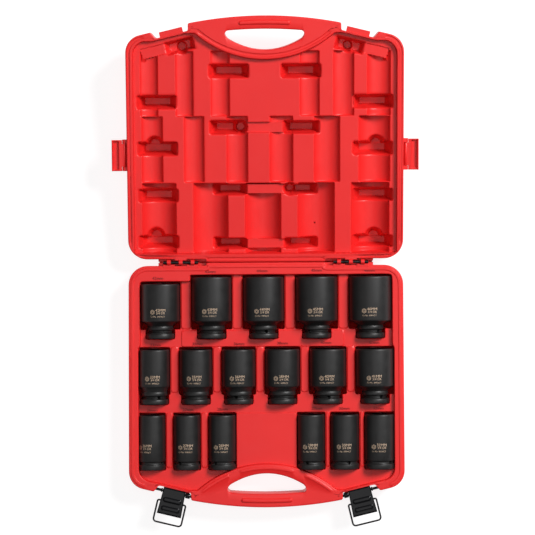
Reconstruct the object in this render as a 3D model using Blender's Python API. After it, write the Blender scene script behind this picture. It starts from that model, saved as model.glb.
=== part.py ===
"""Deep impact socket set in a blow-moulded carry case, opened on a bench.

The base half lies at -Y of the hinge line and the lid half at +Y. Both halves share one
plan outline, drawn in case coordinates: x across, v away from the hinge line. Heights in
a half are given from the hinge axis, so that the lid can be drawn as the base is and then
turned about that axis. All values are in metres.
"""
import math

import bmesh
import bpy
from mathutils import Matrix, Vector

# ---------------------------------------------------------------- driving dimensions
# Sockets: nominal size -> outside diameter of the body, in three rows from the hinge.
ROW_ONE = {42: 0.0575, 43: 0.0580, 44: 0.0595, 45: 0.0605, 46: 0.0620}
ROW_TWO = {33: 0.0450, 35: 0.0475, 36: 0.0485, 38: 0.0505, 40: 0.0530, 41: 0.0555}
ROW_THREE_LEFT = {26: 0.0385, 27: 0.0385, 28: 0.0395}
ROW_THREE_RIGHT = {29: 0.0400, 30: 0.0410, 32: 0.0435}
SOCKET_LENGTH = 0.080
LONG_SOCKET_LENGTH = 0.090          # 43 mm and up
LONG_SOCKET_FROM = 43
STRAIGHT_SOCKET_UP_TO = 32          # smaller sockets have one diameter all along
DRIVE_END_LENGTH = 0.025            # shoulder, collar, groove and flange together
SHOULDER_LENGTH = 0.006
COLLAR_DIAMETER = 0.0360
FLANGE_DIAMETER = 0.0415
FLANGE_LENGTH = 0.0080
GROOVE_WIDTH = 0.0040
GROOVE_DEPTH = 0.0022
SOCKET_EDGE = 0.0010                # chamfer on the outer edges
HEX_PLAY = 0.0006                   # hexagon over its nominal size
DRIVE_SQUARE = 0.0193               # three-quarter inch square drive
DRIVE_DEPTH = 0.0240
PIN_HOLE = 0.0048
SOCKET_SIDES = 18
OVERRUN = 0.0010                    # cutters run past the faces that they open

# Packing of the sockets in the case.
ROW_ONE_WEB = 0.0174                # plastic between two bodies of the first row
ROW_THREE_MIDDLE = 0.0900           # free panel between the two groups of the third row
REAR_STRIP = 0.0212                 # hinge line to the open ends of the first row
ROW_GAP = 0.0158
SIDE_MARGIN = (0.0178, 0.0148, 0.0143)   # case side to the outermost body of each row
POCKET_CLEAR = 0.0008
POCKET_END_CLEAR = 0.0032
TROUGH_CLEAR = 0.0027
SOCKET_AXIS_DEPTH = 0.0100          # socket axes under the hinge axis
FLOOR_THICKNESS = 0.0032

# Case halves.
HALF_HEIGHT = 0.0450                # hinge axis over the underside
RIM_DROP = 0.0002                   # rim under the hinge axis, so closed rims stay apart
DECK_DEPTH = 0.0080                 # deck and lid web under the hinge axis
REAR_GAP = 0.0003
REAR_SET_BACK = 0.0046              # rear wall outside the middle stretch
HINGE_ZONE = 0.0870                 # the rear wall is flush this far from the middle
REAR_CORNER = 0.0280
REAR_TAPER = 0.0008                 # each side is this much narrower at the hinge
FRONT_CORNER = 0.0260
FRONT_SLANT = math.radians(13.5)
FRONT_CORNER_AT = 0.0022            # front corner's centre past the last sockets
HANDLE_REACH = 0.0552               # last sockets to the handle's outer edge
HANDLE_BAR = 0.0197
HANDLE_OPENING_WIDTH = 0.1140
HANDLE_OPENING_RISE = 0.0274
HANDLE_OPENING_BULGE = 0.0027
HANDLE_BULGE = 0.0107
ARCH_BAND = 0.0139                  # rim between the inside and the handle opening
ARCH_RADIUS = 0.1530
ARCH_SHOULDER = 0.0090              # arch's end inside the latch shoulder
INSIDE_FRONT_RIM = 0.0040
UNDERSIDE_EDGE = ((0.0, 0.0050), (0.0015, 0.0022), (0.0050, 0.0008))   # height and inset
LID_SIDE_RIM = 0.0098
LID_REAR_RIM = 0.0123
REST_TILT = math.radians(7.0)       # the lid stops this much short of flat
STOP_PAD = (0.0300, 0.0800, 0.0080, 0.0200)   # x from, x to, height from, height to
STOP_PAD_ROOT = 0.0080              # how far a pad runs into its half

# Kiss-off pits in the lid: the inner skin meets the outer one there.
PIT_RIM = (0.0580, 0.0197)
PIT_FLOOR = (0.0370, 0.0098)
OUTER_PIT_X = 0.1575
OUTER_PIT_V = (0.0330, 0.1000, 0.1670, 0.2350)
INNER_PIT_X = 0.0525
INNER_PIT_V = (0.0300, 0.1080, 0.1980, 0.2790)
SLANTED_PIT = (0.1230, 0.3230, 0.0380, 0.0180)   # x, v, length and width

# Hinge.
ROD_DIAMETER = 0.0042
ROD_PLAY = 0.0003
LUG_RADIUS = 0.0040
LUG_LENGTH = 0.0169
LUG_PITCH = 0.0173
LUG_MIDDLE = 0.1241
LUG_ARM = (0.0012, 0.0040)          # arm's top and underside under the hinge axis
LUG_ROOT = 0.0030                   # arm's run into the rear wall
ROD_LENGTH = 0.0511

# Draw latch.
LATCH_INSET = 0.0670                # case side to the latch middle
RECESS_HALF_WIDTH = 0.0242
RECESS_DEPTH = 0.0105
RECESS_FLARE = 0.0050
RECESS_WALL = 0.0025                # plastic between the recess and the inside
LATCH_PIN_OUT = 0.0055              # pin axis in front of the recess wall
LATCH_PIN_DEPTH = 0.0040            # pin axis under the hinge axis
LATCH_PIN_DIAMETER = 0.0040
LATCH_PIN_REACH = 0.0048            # pin into each side wall
LATCH_PLAY = 0.0003
COLLAR_RADIUS = 0.0040
LEVER_ROOT_WIDTH = 0.0327
LEVER_END_WIDTH = 0.0362
LEVER_LENGTH = 0.0376
LEVER_BEHIND_PIN = 0.0036
LEVER_SHEET = 0.0012
LEVER_TOP = 0.0036                  # outer face over the pin axis
LEVER_FLANGE = 0.0072               # flange height with the sheet
LEVER_FLANGE_SHARE = 0.62           # of the length, where the flange starts to fade
LEVER_EDGE = 0.0006
LEVER_HEEL = 0.0020                 # slanted corner of the flange behind the pin
LEVER_GAP = 0.0006                  # lever to the washers on its pin
WASHER = (0.0020, 0.0010)           # width and height over the pin
RIB_SIZE = (0.0260, 0.0060, 0.0015)
RIB_AT = (0.0120, 0.0247)           # from the pin axis
BAIL_WIRE = 0.0026
BAIL_PIVOT = (0.0145, 0.0015)       # out from and over the pin axis
BAIL_LENGTH = 0.0320
BAIL_WIDTH = 0.0444
BAIL_BEND = 0.0045
BAIL_TAIL = 0.0012                  # wire end inside the lever's flange
CATCH_WIDTH = 0.0340
CATCH_REACH = 0.0075
CATCH_LIP = (0.0020, 0.0022)        # thickness and height of its hook lip
CATCH_TOP_DROP = 0.0020
CATCH_ROOT = 0.0015                 # tab's run into the recess wall

# Side clips on the lid.
CLIP_FROM_HINGE = 0.1338
CLIP_WIDTH = 0.0458
CLIP_REACH = 0.0215                 # out of the case side
CLIP_AXIS_OUT = 0.0032
CLIP_AXIS_DEPTH = 0.0070
CLIP_PIN_DIAMETER = 0.0026
CLIP_PIN_END = 0.0004               # pin ends inside the outer faces of the lugs
CLIP_BARREL = 0.0056
CLIP_LUG = 0.0060
CLIP_PLAY = 0.0003
CLIP_SHEET = 0.0030
CLIP_TRAY_WALL = 0.0020
CLIP_TRAY_FLOOR = 0.0014
CLIP_HOOK = (0.0025, 0.0022)        # thickness and height
CLIP_HOOK_CLEAR = 0.0008            # groove round the hook
CLIP_NOTCH_CLEAR = 0.0006           # clip round the lid's lugs
CLIP_ROOT = 0.0040                  # lug arm's run into the lid
CLIP_TRAY_SET_BACK = (0.0040, 0.0012)   # tray from the lugs and from the hook
CLIP_TOP_EDGE = 0.0020

ROUND_STEPS = 6                     # segments of a quarter turn on the case

# ---------------------------------------------------------------- worked-out places
ROW_OPEN_END = (REAR_STRIP,
                REAR_STRIP + LONG_SOCKET_LENGTH + ROW_GAP,
                REAR_STRIP + LONG_SOCKET_LENGTH + SOCKET_LENGTH + 2 * ROW_GAP)
ROWS_END = ROW_OPEN_END[2] + SOCKET_LENGTH
HALF_WIDTH = (sum(ROW_ONE.values()) + (len(ROW_ONE) - 1) * ROW_ONE_WEB) / 2 + SIDE_MARGIN[0]
CASE_DEPTH = ROWS_END + HANDLE_REACH
HINGE_Y = CASE_DEPTH / 2
HANDLE_INNER = ROWS_END + HANDLE_REACH - HANDLE_BAR     # opening's outer edge, in the middle
OPENING_TOP = HANDLE_INNER - HANDLE_OPENING_BULGE - HANDLE_OPENING_RISE
ARCH_TOP = OPENING_TOP - ARCH_BAND
LATCH_X = HALF_WIDTH - LATCH_INSET


# ---------------------------------------------------------------- small helpers
def clear_scene():
    for item in list(bpy.data.objects):
        bpy.data.objects.remove(item, do_unlink=True)


def make_material(name, colour, roughness, metallic=0.0):
    material = bpy.data.materials.new(name)
    material.use_nodes = True
    shader = material.node_tree.nodes["Principled BSDF"]
    shader.inputs["Base Color"].default_value = (*colour, 1.0)
    shader.inputs["Roughness"].default_value = roughness
    shader.inputs["Metallic"].default_value = metallic
    material.diffuse_color = (*colour, 1.0)
    return material


def add_object(name, mesh_bm, material=None, parent=None, smooth=False):
    """Turn a bmesh into a named object whose faces point out."""
    bmesh.ops.recalc_face_normals(mesh_bm, faces=mesh_bm.faces)
    mesh = bpy.data.meshes.new(name)
    mesh_bm.to_mesh(mesh)
    mesh_bm.free()
    if smooth:
        mesh.shade_smooth()
        mesh.set_sharp_from_angle(angle=math.radians(35))
    item = bpy.data.objects.new(name, mesh)
    bpy.context.scene.collection.objects.link(item)
    if material:
        mesh.materials.append(material)
    item.parent = parent
    return item


def add_empty(name, place, turn=(0.0, 0.0, 0.0), parent=None):
    item = bpy.data.objects.new(name, None)
    bpy.context.scene.collection.objects.link(item)
    item.location = place
    item.rotation_euler = turn
    item.parent = parent
    return item


def as_cutter(item):
    item.hide_render = True
    item.display_type = "WIRE"
    return item


def cut_with(item, cutters, name, operation="DIFFERENCE"):
    """One exact Boolean over a collection of cutting solids."""
    group = bpy.data.collections.new(name)
    bpy.context.scene.collection.children.link(group)
    for cutter in cutters:
        as_cutter(cutter)
        bpy.context.scene.collection.objects.unlink(cutter)
        group.objects.link(cutter)
    step = item.modifiers.new(name, "BOOLEAN")
    step.operand_type = "COLLECTION"
    step.collection = group
    step.operation = operation
    step.solver = "EXACT"


def arc(centre, radius, start, end, steps):
    """Points along a circular arc, angles from +x towards +v."""
    turns = [start + (end - start) * step / steps for step in range(steps + 1)]
    return [(centre[0] + radius * math.cos(a), centre[1] + radius * math.sin(a)) for a in turns]


def sagitta_arc(start, end, rise, steps):
    """Arc from start to end that bulges by rise to the left of its chord."""
    first, last = Vector(start), Vector(end)
    chord = last - first
    radius = (chord.length ** 2 / 4 + rise ** 2) / (2 * rise)
    left = Vector((-chord.y, chord.x)).normalized()
    centre = (first + last) / 2 + left * (rise - radius)
    half = math.asin(chord.length / 2 / radius)
    middle = math.atan2(left.y, left.x)
    return arc(centre, radius, middle + half, middle - half, steps)


def mirrored(half):
    """A closed outline from its x > 0 half, listed from the rear to the front."""
    return half + [(-x, v) for x, v in reversed(half) if abs(x) > 1e-7]


def inset(points, distance):
    """Move each corner of a closed outline inwards along its mitre."""
    area = sum(a[0] * b[1] - b[0] * a[1] for a, b in zip(points, points[1:] + points[:1]))
    side = 1.0 if area > 0 else -1.0
    moved = []
    for before, here, after in zip(points[-1:] + points[:-1], points, points[1:] + points[:1]):
        one = (Vector(here) - Vector(before)).normalized()
        two = (Vector(after) - Vector(here)).normalized()
        normal_one = Vector((-one.y, one.x)) * side
        normal_two = Vector((-two.y, two.x)) * side
        mitre = normal_one + normal_two
        scale = distance / max(0.35, mitre.dot(normal_one))
        moved.append((here[0] + mitre.x * scale, here[1] + mitre.y * scale))
    return moved


def loft(rings):
    """Closed solid through rings of 3D points, each with the same count."""
    solid = bmesh.new()
    loops = [[solid.verts.new(point) for point in ring] for ring in rings]
    for lower, upper in zip(loops, loops[1:]):
        for index in range(len(lower)):
            after = (index + 1) % len(lower)
            solid.faces.new((lower[index], lower[after], upper[after], upper[index]))
    solid.faces.new(loops[0])
    solid.faces.new(loops[-1])
    return solid


def turned(profile, sides):
    """Solid of revolution about Y from (axial, radius) points that start and end on it."""
    solid = bmesh.new()
    verts = [solid.verts.new((radius, axial, 0.0)) for axial, radius in profile]
    edges = [solid.edges.new(pair) for pair in zip(verts, verts[1:])]
    bmesh.ops.spin(solid, geom=verts + edges, cent=(0, 0, 0), axis=(0, 1, 0),
                   angle=math.tau, steps=sides, use_merge=True, use_duplicate=False)
    bmesh.ops.remove_doubles(solid, verts=solid.verts, dist=1e-6)
    return solid


def rod(radius, start, end, sides=16, axis="X", centre=(0.0, 0.0)):
    """Round bar between two stations of one axis."""
    solid = bmesh.new()
    bmesh.ops.create_cone(solid, cap_ends=True, segments=sides, radius1=radius,
                          radius2=radius, depth=end - start)
    turn = Matrix.Rotation(math.pi / 2, 4, "Y" if axis == "X" else "X")
    middle = (start + end) / 2
    place = (middle, *centre) if axis == "X" else (centre[0], middle, centre[1])
    bmesh.ops.transform(solid, matrix=Matrix.Translation(place) @ turn, verts=solid.verts)
    return solid


def prism_x(outline, start, end):
    """Extrude a (y, z) outline along x."""
    return loft([[(x, y, z) for y, z in outline] for x in (start, end)])


def prism_y(outline, start, end):
    """Extrude an (x, z) outline along y."""
    return loft([[(x, y, z) for x, z in outline] for y in (start, end)])


def prism_z(outline, start, end, side=1.0):
    """Extrude an (x, v) outline along z; side is +1 for the lid and -1 for the base."""
    return loft([[(x, side * v, z) for x, v in outline] for z in (start, end)])


# ---------------------------------------------------------------- case outline
def latch_point(along, out, depth=RECESS_DEPTH):
    """Case point from the latch middle: along the slanted front towards the handle, and out
    of the recess wall."""
    front_x = HALF_WIDTH - FRONT_CORNER + FRONT_CORNER * math.sin(FRONT_SLANT)
    front_v = ROWS_END + FRONT_CORNER_AT + FRONT_CORNER * math.cos(FRONT_SLANT)
    wall_v = front_v + (front_x - LATCH_X) * math.tan(FRONT_SLANT) - depth / math.cos(FRONT_SLANT)
    x = LATCH_X - along * math.cos(FRONT_SLANT) + out * math.sin(FRONT_SLANT)
    return x, wall_v + along * math.sin(FRONT_SLANT) + out * math.cos(FRONT_SLANT)


def case_outline():
    """Plan of either half: hinge edge, corners, latch recesses and handle."""
    rear_half = HALF_WIDTH - REAR_TAPER
    rear_corner = arc((rear_half - REAR_CORNER, REAR_SET_BACK + REAR_CORNER), REAR_CORNER,
                      -math.pi / 2, 0.0, ROUND_STEPS)
    front_corner = arc((HALF_WIDTH - FRONT_CORNER, ROWS_END + FRONT_CORNER_AT), FRONT_CORNER,
                       0.0, math.pi / 2 - FRONT_SLANT, ROUND_STEPS)
    handle_end = latch_point(RECESS_HALF_WIDTH + RECESS_FLARE / 2, RECESS_DEPTH)
    handle = sagitta_arc((-handle_end[0], handle_end[1]), handle_end, HANDLE_BULGE, 10)
    half = [(HINGE_ZONE, REAR_GAP), (HINGE_ZONE, REAR_SET_BACK)]
    half += rear_corner + front_corner
    half += [latch_point(-RECESS_HALF_WIDTH - RECESS_FLARE, RECESS_DEPTH),
             latch_point(-RECESS_HALF_WIDTH, 0.0),
             latch_point(RECESS_HALF_WIDTH, 0.0)]
    half += [point for point in reversed(handle) if point[0] > -1e-7]
    return mirrored(half)


def inside_outline(rear, side):
    """Edge of the sunk inside: it follows the sides, the slanted front and the handle arch."""
    corner = FRONT_CORNER - (HALF_WIDTH - side) / 2
    front = arc((side - corner, ROWS_END + FRONT_CORNER_AT - INSIDE_FRONT_RIM), corner, 0.0,
                math.pi / 2 - FRONT_SLANT, 3)
    shoulder = latch_point(RECESS_HALF_WIDTH - OVERRUN, -RECESS_WALL)
    arch_centre = ARCH_TOP + ARCH_RADIUS
    arch_half = shoulder[0] - ARCH_SHOULDER
    arch_end = -math.acos(arch_half / ARCH_RADIUS)
    arch = arc((0.0, arch_centre), ARCH_RADIUS, arch_end, -math.pi / 2, 5)
    return mirrored([(side, rear)] + front + [shoulder] + arch)


def handle_opening():
    """Lens of the hand hole: a deep arc towards the case and a shallow one outside."""
    half = HANDLE_OPENING_WIDTH / 2
    ends_v = HANDLE_INNER - HANDLE_OPENING_BULGE
    outer = sagitta_arc((-half, ends_v), (half, ends_v), HANDLE_OPENING_BULGE, 4)
    inner = sagitta_arc((half, ends_v), (-half, ends_v), HANDLE_OPENING_RISE, 12)
    return outer + inner[1:-1]


def half_body(side):
    """Outer solid of one half, from its underside up to the rim, drafted and edged."""
    outline = case_outline()
    levels = [(height - HALF_HEIGHT, amount) for height, amount in UNDERSIDE_EDGE]
    levels.append((-RIM_DROP, 0.0))
    return loft([[(x, side * v, z) for x, v in inset(outline, amount)] for z, amount in levels])


def stop_pads(side):
    """Two pads low on the rear wall; those of both halves meet when the lid is fully open."""
    start, end, low, high = STOP_PAD
    levels = (low - HALF_HEIGHT, high - HALF_HEIGHT)
    face = [(side * (z * math.tan(REST_TILT / 2) + REAR_GAP / 2), z) for z in levels]
    root = side * STOP_PAD_ROOT
    outline = [(root, levels[0]), face[0], face[1], (root, levels[1])]
    return [prism_x(outline, start, end), prism_x(outline, -end, -start)]


def hinge_lug(side, middle):
    """Eye round the rod with an arm into the rear wall."""
    low, high = middle - LUG_LENGTH / 2, middle + LUG_LENGTH / 2
    eye = rod(LUG_RADIUS, low, high)
    reach = side * (REAR_SET_BACK + LUG_ROOT)
    top, floor = LUG_ARM
    arm = prism_x([(0.0, -floor), (0.0, -top), (reach, -top), (reach, -floor)], low, high)
    return eye, arm


def hinge_lugs(side):
    """Base lugs stand either side of the lid's in both hinge zones."""
    shifts = (0.0,) if side > 0 else (-LUG_PITCH, LUG_PITCH)
    return [hinge_lug(side, hand * LUG_MIDDLE + shift) for hand in (-1, 1) for shift in shifts]


# ---------------------------------------------------------------- sockets
def spread(row, left, right):
    """Places of a row's sockets, with the same web between all of them."""
    web = (right - left - sum(row.values())) / (len(row) - 1)
    places, edge = {}, left
    for size, diameter in row.items():
        places[size] = edge + diameter / 2
        edge += diameter + web
    return places


def socket_layout():
    """Size -> (x, v of the open end, length, diameter)."""
    rows = ((ROW_ONE, 0, None), (ROW_TWO, 1, None), (ROW_THREE_LEFT, 2, -1),
            (ROW_THREE_RIGHT, 2, 1))
    layout = {}
    for row, index, hand in rows:
        edge = HALF_WIDTH - SIDE_MARGIN[index]
        left = ROW_THREE_MIDDLE / 2 if hand == 1 else -edge
        right = -ROW_THREE_MIDDLE / 2 if hand == -1 else edge
        longest = LONG_SOCKET_LENGTH if index == 0 else SOCKET_LENGTH
        for size, x in spread(row, left, right).items():
            length = LONG_SOCKET_LENGTH if size >= LONG_SOCKET_FROM else SOCKET_LENGTH
            layout[size] = (x, ROW_OPEN_END[index] + longest - length, length, row[size])
    return layout


def body_length(size, length):
    """Length of the full diameter, from the open end."""
    return length if size <= STRAIGHT_SOCKET_UP_TO else length - DRIVE_END_LENGTH


def socket_profile(size, length, diameter):
    """Half section from the open end at 0 to the drive end."""
    radius = diameter / 2
    end = radius if size <= STRAIGHT_SOCKET_UP_TO else FLANGE_DIAMETER / 2
    neck = radius if size <= STRAIGHT_SOCKET_UP_TO else COLLAR_DIAMETER / 2
    groove = length - FLANGE_LENGTH
    profile = [(0.0, 0.0), (0.0, radius - SOCKET_EDGE), (SOCKET_EDGE, radius)]
    if size > STRAIGHT_SOCKET_UP_TO:
        shoulder = body_length(size, length)
        profile += [(shoulder - SOCKET_EDGE, radius), (shoulder, radius - SOCKET_EDGE),
                    (shoulder + SHOULDER_LENGTH, neck)]
    profile += [(groove - GROOVE_WIDTH, neck), (groove - GROOVE_WIDTH, neck - GROOVE_DEPTH),
                (groove, neck - GROOVE_DEPTH), (groove, end),
                (length - SOCKET_EDGE, end), (length, end - SOCKET_EDGE), (length, 0.0)]
    return profile


def hexagon(width):
    """Hexagon of the given width across flats, with two flats upright."""
    radius = width / math.sqrt(3)
    return [(radius * math.sin(step * math.pi / 3), radius * math.cos(step * math.pi / 3))
            for step in range(6)]


def make_socket(size, place, material):
    """One socket lying along Y with its open end towards the hinge."""
    x, open_end, length, diameter = place
    name = f"socket_{size}mm"
    item = add_object(name, turned(socket_profile(size, length, diameter), SOCKET_SIDES),
                      material, smooth=True)
    half = DRIVE_SQUARE / 2
    hex_end = length - DRIVE_DEPTH
    square = [(-half, -half), (half, -half), (half, half), (-half, half)]
    pin_at = length - FLANGE_LENGTH - GROOVE_WIDTH / 2
    pin = bmesh.new()
    bmesh.ops.create_cone(pin, cap_ends=True, segments=6, radius1=PIN_HOLE / 2,
                          radius2=PIN_HOLE / 2, depth=diameter + 2 * OVERRUN)
    bmesh.ops.translate(pin, vec=(0.0, pin_at, 0.0), verts=pin.verts)
    cutters = [add_object(f"{name}_hexagon", prism_y(hexagon(size / 1000 + HEX_PLAY),
                                                     -OVERRUN, hex_end), parent=item),
               add_object(f"{name}_square",
                          prism_y(square, hex_end - OVERRUN, length + OVERRUN), parent=item),
               add_object(f"{name}_pin_hole", pin, parent=item)]
    cut_with(item, cutters, f"{name}_bores")
    item.location = (x, HINGE_Y - open_end, HALF_HEIGHT - SOCKET_AXIS_DEPTH)
    item.rotation_euler = (math.pi, 0.0, 0.0)
    return item


# ---------------------------------------------------------------- base
def u_section(half_width, top, bottom_radius):
    """Upright pocket section with a round floor, as (x, z) about the socket axis."""
    floor = arc((0.0, 0.0), bottom_radius, -math.pi, 0.0, 8)
    return [(-half_width, top)] + floor + [(half_width, top)]


def pocket_cutters(layout, base):
    """Pocket of each socket: a wide part for its body and a narrower one for its neck."""
    cutters = []
    for size, (x, open_end, length, diameter) in layout.items():
        body = body_length(size, length)
        start = open_end - POCKET_END_CLEAR
        end = open_end + length + POCKET_CLEAR
        if size > STRAIGHT_SOCKET_UP_TO:
            shoulder = open_end + body + SHOULDER_LENGTH
            parts = [(start, shoulder, diameter / 2),
                     (shoulder - OVERRUN, end, FLANGE_DIAMETER / 2)]
        else:
            parts = [(start, end, diameter / 2)]
        for number, (start, end, radius) in enumerate(parts):
            section = u_section(radius + POCKET_CLEAR, SOCKET_AXIS_DEPTH + OVERRUN,
                                radius + POCKET_CLEAR)
            cutter = add_object(f"pocket_{size}mm_{number}", prism_y(section, -end, -start),
                                parent=base)
            cutter.location = (x, 0.0, -SOCKET_AXIS_DEPTH)
            cutters.append(cutter)
    return cutters


def clip_grooves(base):
    """Slots in the base's sides that the clips' hooks snap into."""
    tip = CLIP_REACH - CLIP_AXIS_OUT
    low = CLIP_AXIS_DEPTH - tip - CLIP_HOOK_CLEAR
    high = low + CLIP_HOOK[0] + 2 * CLIP_HOOK_CLEAR
    cutters = []
    for hand in (-1, 1):
        x_from, x_to = sorted((hand * (HALF_WIDTH - CLIP_HOOK[1] - REAR_TAPER - OVERRUN),
                               hand * (HALF_WIDTH + OVERRUN)))
        outline = [(x_from, low), (x_to, low), (x_to, high), (x_from, high)]
        cutters.append(add_object(f"clip_groove_{hand}",
                                  prism_y(outline, -CLIP_FROM_HINGE - CLIP_WIDTH - OVERRUN,
                                          -CLIP_FROM_HINGE + OVERRUN), parent=base))
    return cutters


def latch_frame(hand, side, parent=None):
    """Empty on the latch pin: x along the pin towards the handle on the left, y outwards."""
    x, v = latch_point(0.0, LATCH_PIN_OUT)
    turn = math.pi if side < 0 else 0.0
    place = (hand * x, side * v, -LATCH_PIN_DEPTH)
    name = "left" if hand < 0 else "right"
    which = "latch" if side < 0 else "catch"
    return add_empty(f"{which}_frame_{name}", place,
                     (0.0, 0.0, turn - side * hand * FRONT_SLANT), parent)


def make_base(layout, material):
    base_frame = add_empty("base_frame", (0.0, HINGE_Y, HALF_HEIGHT))
    base = add_object("base_shell", half_body(-1), material, base_frame)
    added = [add_object(f"base_stop_pad_{number}", pad, parent=base)
             for number, pad in enumerate(stop_pads(-1))]
    for number, lug in enumerate(hinge_lugs(-1)):
        added += [add_object(f"base_lug_{number}_{part}", piece, parent=base)
                  for part, piece in zip(("eye", "arm"), lug)]
    cut_with(base, added, "base_additions", "UNION")
    inside = inside_outline(REAR_STRIP - POCKET_END_CLEAR, HALF_WIDTH - SIDE_MARGIN[1])
    cutters = [add_object("base_inside", prism_z(inside, -DECK_DEPTH, OVERRUN, -1), parent=base),
               add_object("base_hand_hole",
                          prism_z(handle_opening(), -HALF_HEIGHT - OVERRUN, OVERRUN, -1),
                          parent=base)]
    cutters += pocket_cutters(layout, base)
    cutters += clip_grooves(base)
    for hand in (-1, 1):
        bore = rod(ROD_DIAMETER / 2 + ROD_PLAY, LUG_MIDDLE - LUG_PITCH * 2,
                   LUG_MIDDLE + LUG_PITCH * 2)
        cutters.append(add_object(f"base_rod_bore_{hand}", bore, parent=base))
        if hand < 0:
            cutters[-1].rotation_euler = (0.0, 0.0, math.pi)
        frame = latch_frame(hand, -1, base)
        reach = RECESS_HALF_WIDTH + LATCH_PIN_REACH + RECESS_FLARE / 2
        cutters.append(add_object(f"latch_pin_hole_{hand}",
                                  rod(LATCH_PIN_DIAMETER / 2 + LATCH_PLAY, -reach, reach, 12),
                                  parent=frame))
    cut_with(base, cutters, "base_cuts")
    return base


# ---------------------------------------------------------------- lid
def pit_cutter(name, lid, x, v, rim, floor, turn=0.0):
    """Tapered pit from the web down to the outer skin."""
    depth = HALF_HEIGHT - FLOOR_THICKNESS
    slope = [(r - f) / 2 / (depth - DECK_DEPTH) for r, f in zip(rim, floor)]
    rings = []
    for z in (-depth, OVERRUN):
        half = [f / 2 + s * (z + depth) for f, s in zip(floor, slope)]
        rings.append([(sx * half[0], sy * half[1], z)
                      for sx, sy in ((-1, -1), (1, -1), (1, 1), (-1, 1))])
    cutter = add_object(name, loft(rings), parent=lid)
    cutter.location = (x, v, 0.0)
    cutter.rotation_euler = (0.0, 0.0, turn)
    return cutter


def trough_cutters(layout, lid):
    """Round trough over each socket; its axis is the socket's in the closed case."""
    cutters = []
    for size, (x, open_end, length, diameter) in layout.items():
        radius = diameter / 2 + TROUGH_CLEAR
        bar = rod(radius, open_end - POCKET_END_CLEAR, open_end + length + POCKET_END_CLEAR,
                  20, "Y", (0.0, SOCKET_AXIS_DEPTH))
        cutter = add_object(f"trough_{size}mm", bar, parent=lid)
        cutter.location = (x, 0.0, 0.0)
        cutters.append(cutter)
    return cutters


def clip_lugs(lid):
    """Lugs on the lid's sides that carry the clip pins."""
    lugs = []
    start = CLIP_FROM_HINGE
    ends = ((start, start + CLIP_LUG), (start + CLIP_WIDTH - CLIP_LUG, start + CLIP_WIDTH))
    radius = CLIP_BARREL / 2
    for hand in (-1, 1):
        axis_x = hand * (HALF_WIDTH + CLIP_AXIS_OUT)
        back = hand * (HALF_WIDTH - CLIP_ROOT)
        for number, (low, high) in enumerate(ends):
            eye = rod(radius, low, high, 12, "Y", (axis_x, -CLIP_AXIS_DEPTH))
            corners = [(back, -CLIP_AXIS_DEPTH - radius), (axis_x, -CLIP_AXIS_DEPTH - radius),
                       (axis_x, -CLIP_AXIS_DEPTH + radius), (back, -CLIP_AXIS_DEPTH + radius)]
            lugs += [add_object(f"clip_lug_{hand}_{number}_eye", eye, parent=lid),
                     add_object(f"clip_lug_{hand}_{number}_arm", prism_y(corners, low, high),
                                parent=lid)]
    return lugs


def catch_height():
    """Depth of the ledge that a closed bail holds, under the lid's hinge axis plane."""
    bar = -LATCH_PIN_DEPTH - BAIL_PIVOT[0] + BAIL_LENGTH
    return bar - BAIL_WIRE / 2 - LATCH_PLAY


def catch_solids(lid):
    """Catch tab with a hook lip in each latch recess of the lid."""
    ledge = -catch_height() + LATCH_PIN_DEPTH
    top = -CATCH_TOP_DROP + LATCH_PIN_DEPTH
    thick, lip = CATCH_LIP
    back = -LATCH_PIN_OUT - CATCH_ROOT
    front = CATCH_REACH - LATCH_PIN_OUT
    outline = [(back, top), (front, top), (front, ledge - lip), (front - thick, ledge - lip),
               (front - thick, ledge), (back, ledge)]
    return [add_object(f"catch_{hand}", prism_x(outline, -CATCH_WIDTH / 2, CATCH_WIDTH / 2),
                       parent=latch_frame(hand, 1, lid)) for hand in (-1, 1)]


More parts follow.
